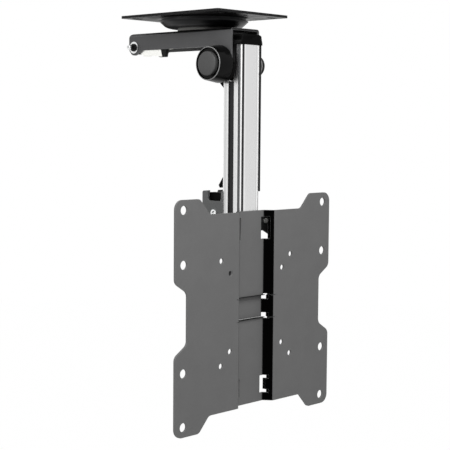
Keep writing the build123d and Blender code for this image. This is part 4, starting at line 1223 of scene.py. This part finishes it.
@dataclass
class Studio:
    """Pale floor, soft light and the camera at the photograph's viewing angle."""

    image_width: float = 450.0
    focal_pixels: float = 1209.3
    sensor: float = 36.0
    position: Triple = (-0.8705, -0.8484, -0.1104)
    yaw: float = 46.8
    pitch: float = -4.61
    roll: float = 0.42
    floor_height: float = -1.15
    floor_reach: float = 6.0
    floor_grey: Colour = (0.8, 0.8, 0.8, 1.0)
    floor_white: float = 0.997
    even_light: float = 0.45
    target: Triple = (0.0, 0.0, -0.19)

    def camera(self) -> None:
        """Place the camera and make it the scene's."""
        lens = bpy.data.cameras.new("view_camera")
        lens.sensor_width = self.sensor
        lens.lens = self.focal_pixels / self.image_width * self.sensor
        lens.clip_start = 0.05
        lens.clip_end = 50
        seen = bpy.data.objects.new("view_camera", lens)
        bpy.context.scene.collection.objects.link(seen)
        yaw, pitch, roll = (math.radians(turn) for turn in (self.yaw, self.pitch, self.roll))
        level = Vector((math.sin(yaw), math.cos(yaw), 0))
        right = Vector((math.cos(yaw), -math.sin(yaw), 0))
        up = Vector((0, 0, 1))
        ahead = level * math.cos(pitch) + up * math.sin(pitch)
        over = up * math.cos(pitch) - level * math.sin(pitch)
        side = right * math.cos(roll) + over * math.sin(roll)
        over = over * math.cos(roll) - right * math.sin(roll)
        turn = Matrix((side, over, -ahead)).transposed().to_4x4()
        seen.matrix_world = Matrix.Translation(self.position) @ turn
        bpy.context.scene.camera = seen

    def lamp(self, name: str, place: Triple, size: float, power: float) -> None:
        """Add a square soft lamp that points at the middle of the mount.

        Args:
            name: Name of the lamp.
            place: Where it hangs.
            size: Width of its face in metres.
            power: Its power in watts.
        """
        light = bpy.data.lights.new(name, "AREA")
        light.shape = "SQUARE"
        light.size = size
        light.energy = power
        hung = bpy.data.objects.new(name, light)
        bpy.context.scene.collection.objects.link(hung)
        hung.location = place
        hung.rotation_euler = (Vector(self.target) - Vector(place)).to_track_quat("-Z", "Y").to_euler()
        hung.visible_camera = False

    def surroundings(self) -> None:
        """White to the eye and in gloss, and an even soft light on the rest."""
        world = bpy.data.worlds.new("studio")
        bpy.context.scene.world = world
        world.use_nodes = True
        world.node_tree.nodes.clear()
        graph = Graph(world.node_tree)
        back = graph.add("Background", Color=WHITE, Strength=1.0)
        soft = graph.add("Background", Color=WHITE, Strength=self.even_light)
        share = self.eye_share(graph)
        graph.add("OutputWorld", Surface=self.blended(graph, share, soft.outputs["Background"],
                                                      back.outputs["Background"]))

    def blended(self, graph: Graph, share: Socket, first: Socket, second: Socket) -> Socket:
        """Blend the second shader over the first by a share.

        Args:
            graph: Node tree of the world or the floor.
            share: How much of the second shader shows.
            first: The first shader.
            second: The second shader.

        Returns:
            The blended shader.
        """
        mix = graph.add("MixShader", Fac=share)
        graph.feed(first, mix.inputs[1])
        graph.feed(second, mix.inputs[2])
        return mix.outputs["Shader"]

    def eye_share(self, graph: Graph) -> Socket:
        """One for a ray from the eye, a gloss ray or a ray through glass, else zero.

        Args:
            graph: Node tree of the world or the floor.

        Returns:
            The share.
        """
        path = graph.add("LightPath")
        total = path.outputs["Is Camera Ray"]
        for kind in ("Is Glossy Ray", "Is Transmission Ray"):
            total = graph.math("MAXIMUM", total, path.outputs[kind])
        return total

    def floor(self) -> None:
        """Lay a wide pale floor well under the mount."""
        ground = ring(self.floor_reach, Vector((0, 0, self.floor_height)), sides=96, fill="NGON")
        ground.name = "studio_floor"
        made = bpy.data.materials.new("pale_floor")
        made.use_nodes = True
        made.node_tree.nodes.clear()
        graph = Graph(made.node_tree)
        matt = graph.add("BsdfDiffuse", Color=self.floor_grey)
        bright = graph.add("Emission", Color=WHITE)
        share = graph.math("MULTIPLY", self.eye_share(graph), self.floor_white)
        graph.add("OutputMaterial", Surface=self.blended(graph, share, matt.outputs["BSDF"],
                                                         bright.outputs["Emission"]))
        ground.data.materials.append(made)

    def build(self) -> None:
        """Set up the whole studio."""
        self.camera()
        self.floor()
        self.surroundings()
        self.lamp("key_lamp", (-0.35, -0.60, 0.36), 0.5, 6.0)
        self.lamp("side_lamp", (-1.3, 0.25, 0.25), 1.0, 5.0)
        bpy.context.scene.view_settings.view_transform = "Standard"


def main() -> None:
    """Build and dress the mount, sub-assembly by sub-assembly."""
    logging.basicConfig(level=logging.INFO, format="%(message)s")
    Studio().build()
    for part in (CeilingSide(), Arm(), Latch(), Column(), TelevisionSide()):
        part.build()
        part.dress()


if __name__ == "__main__":
    main()
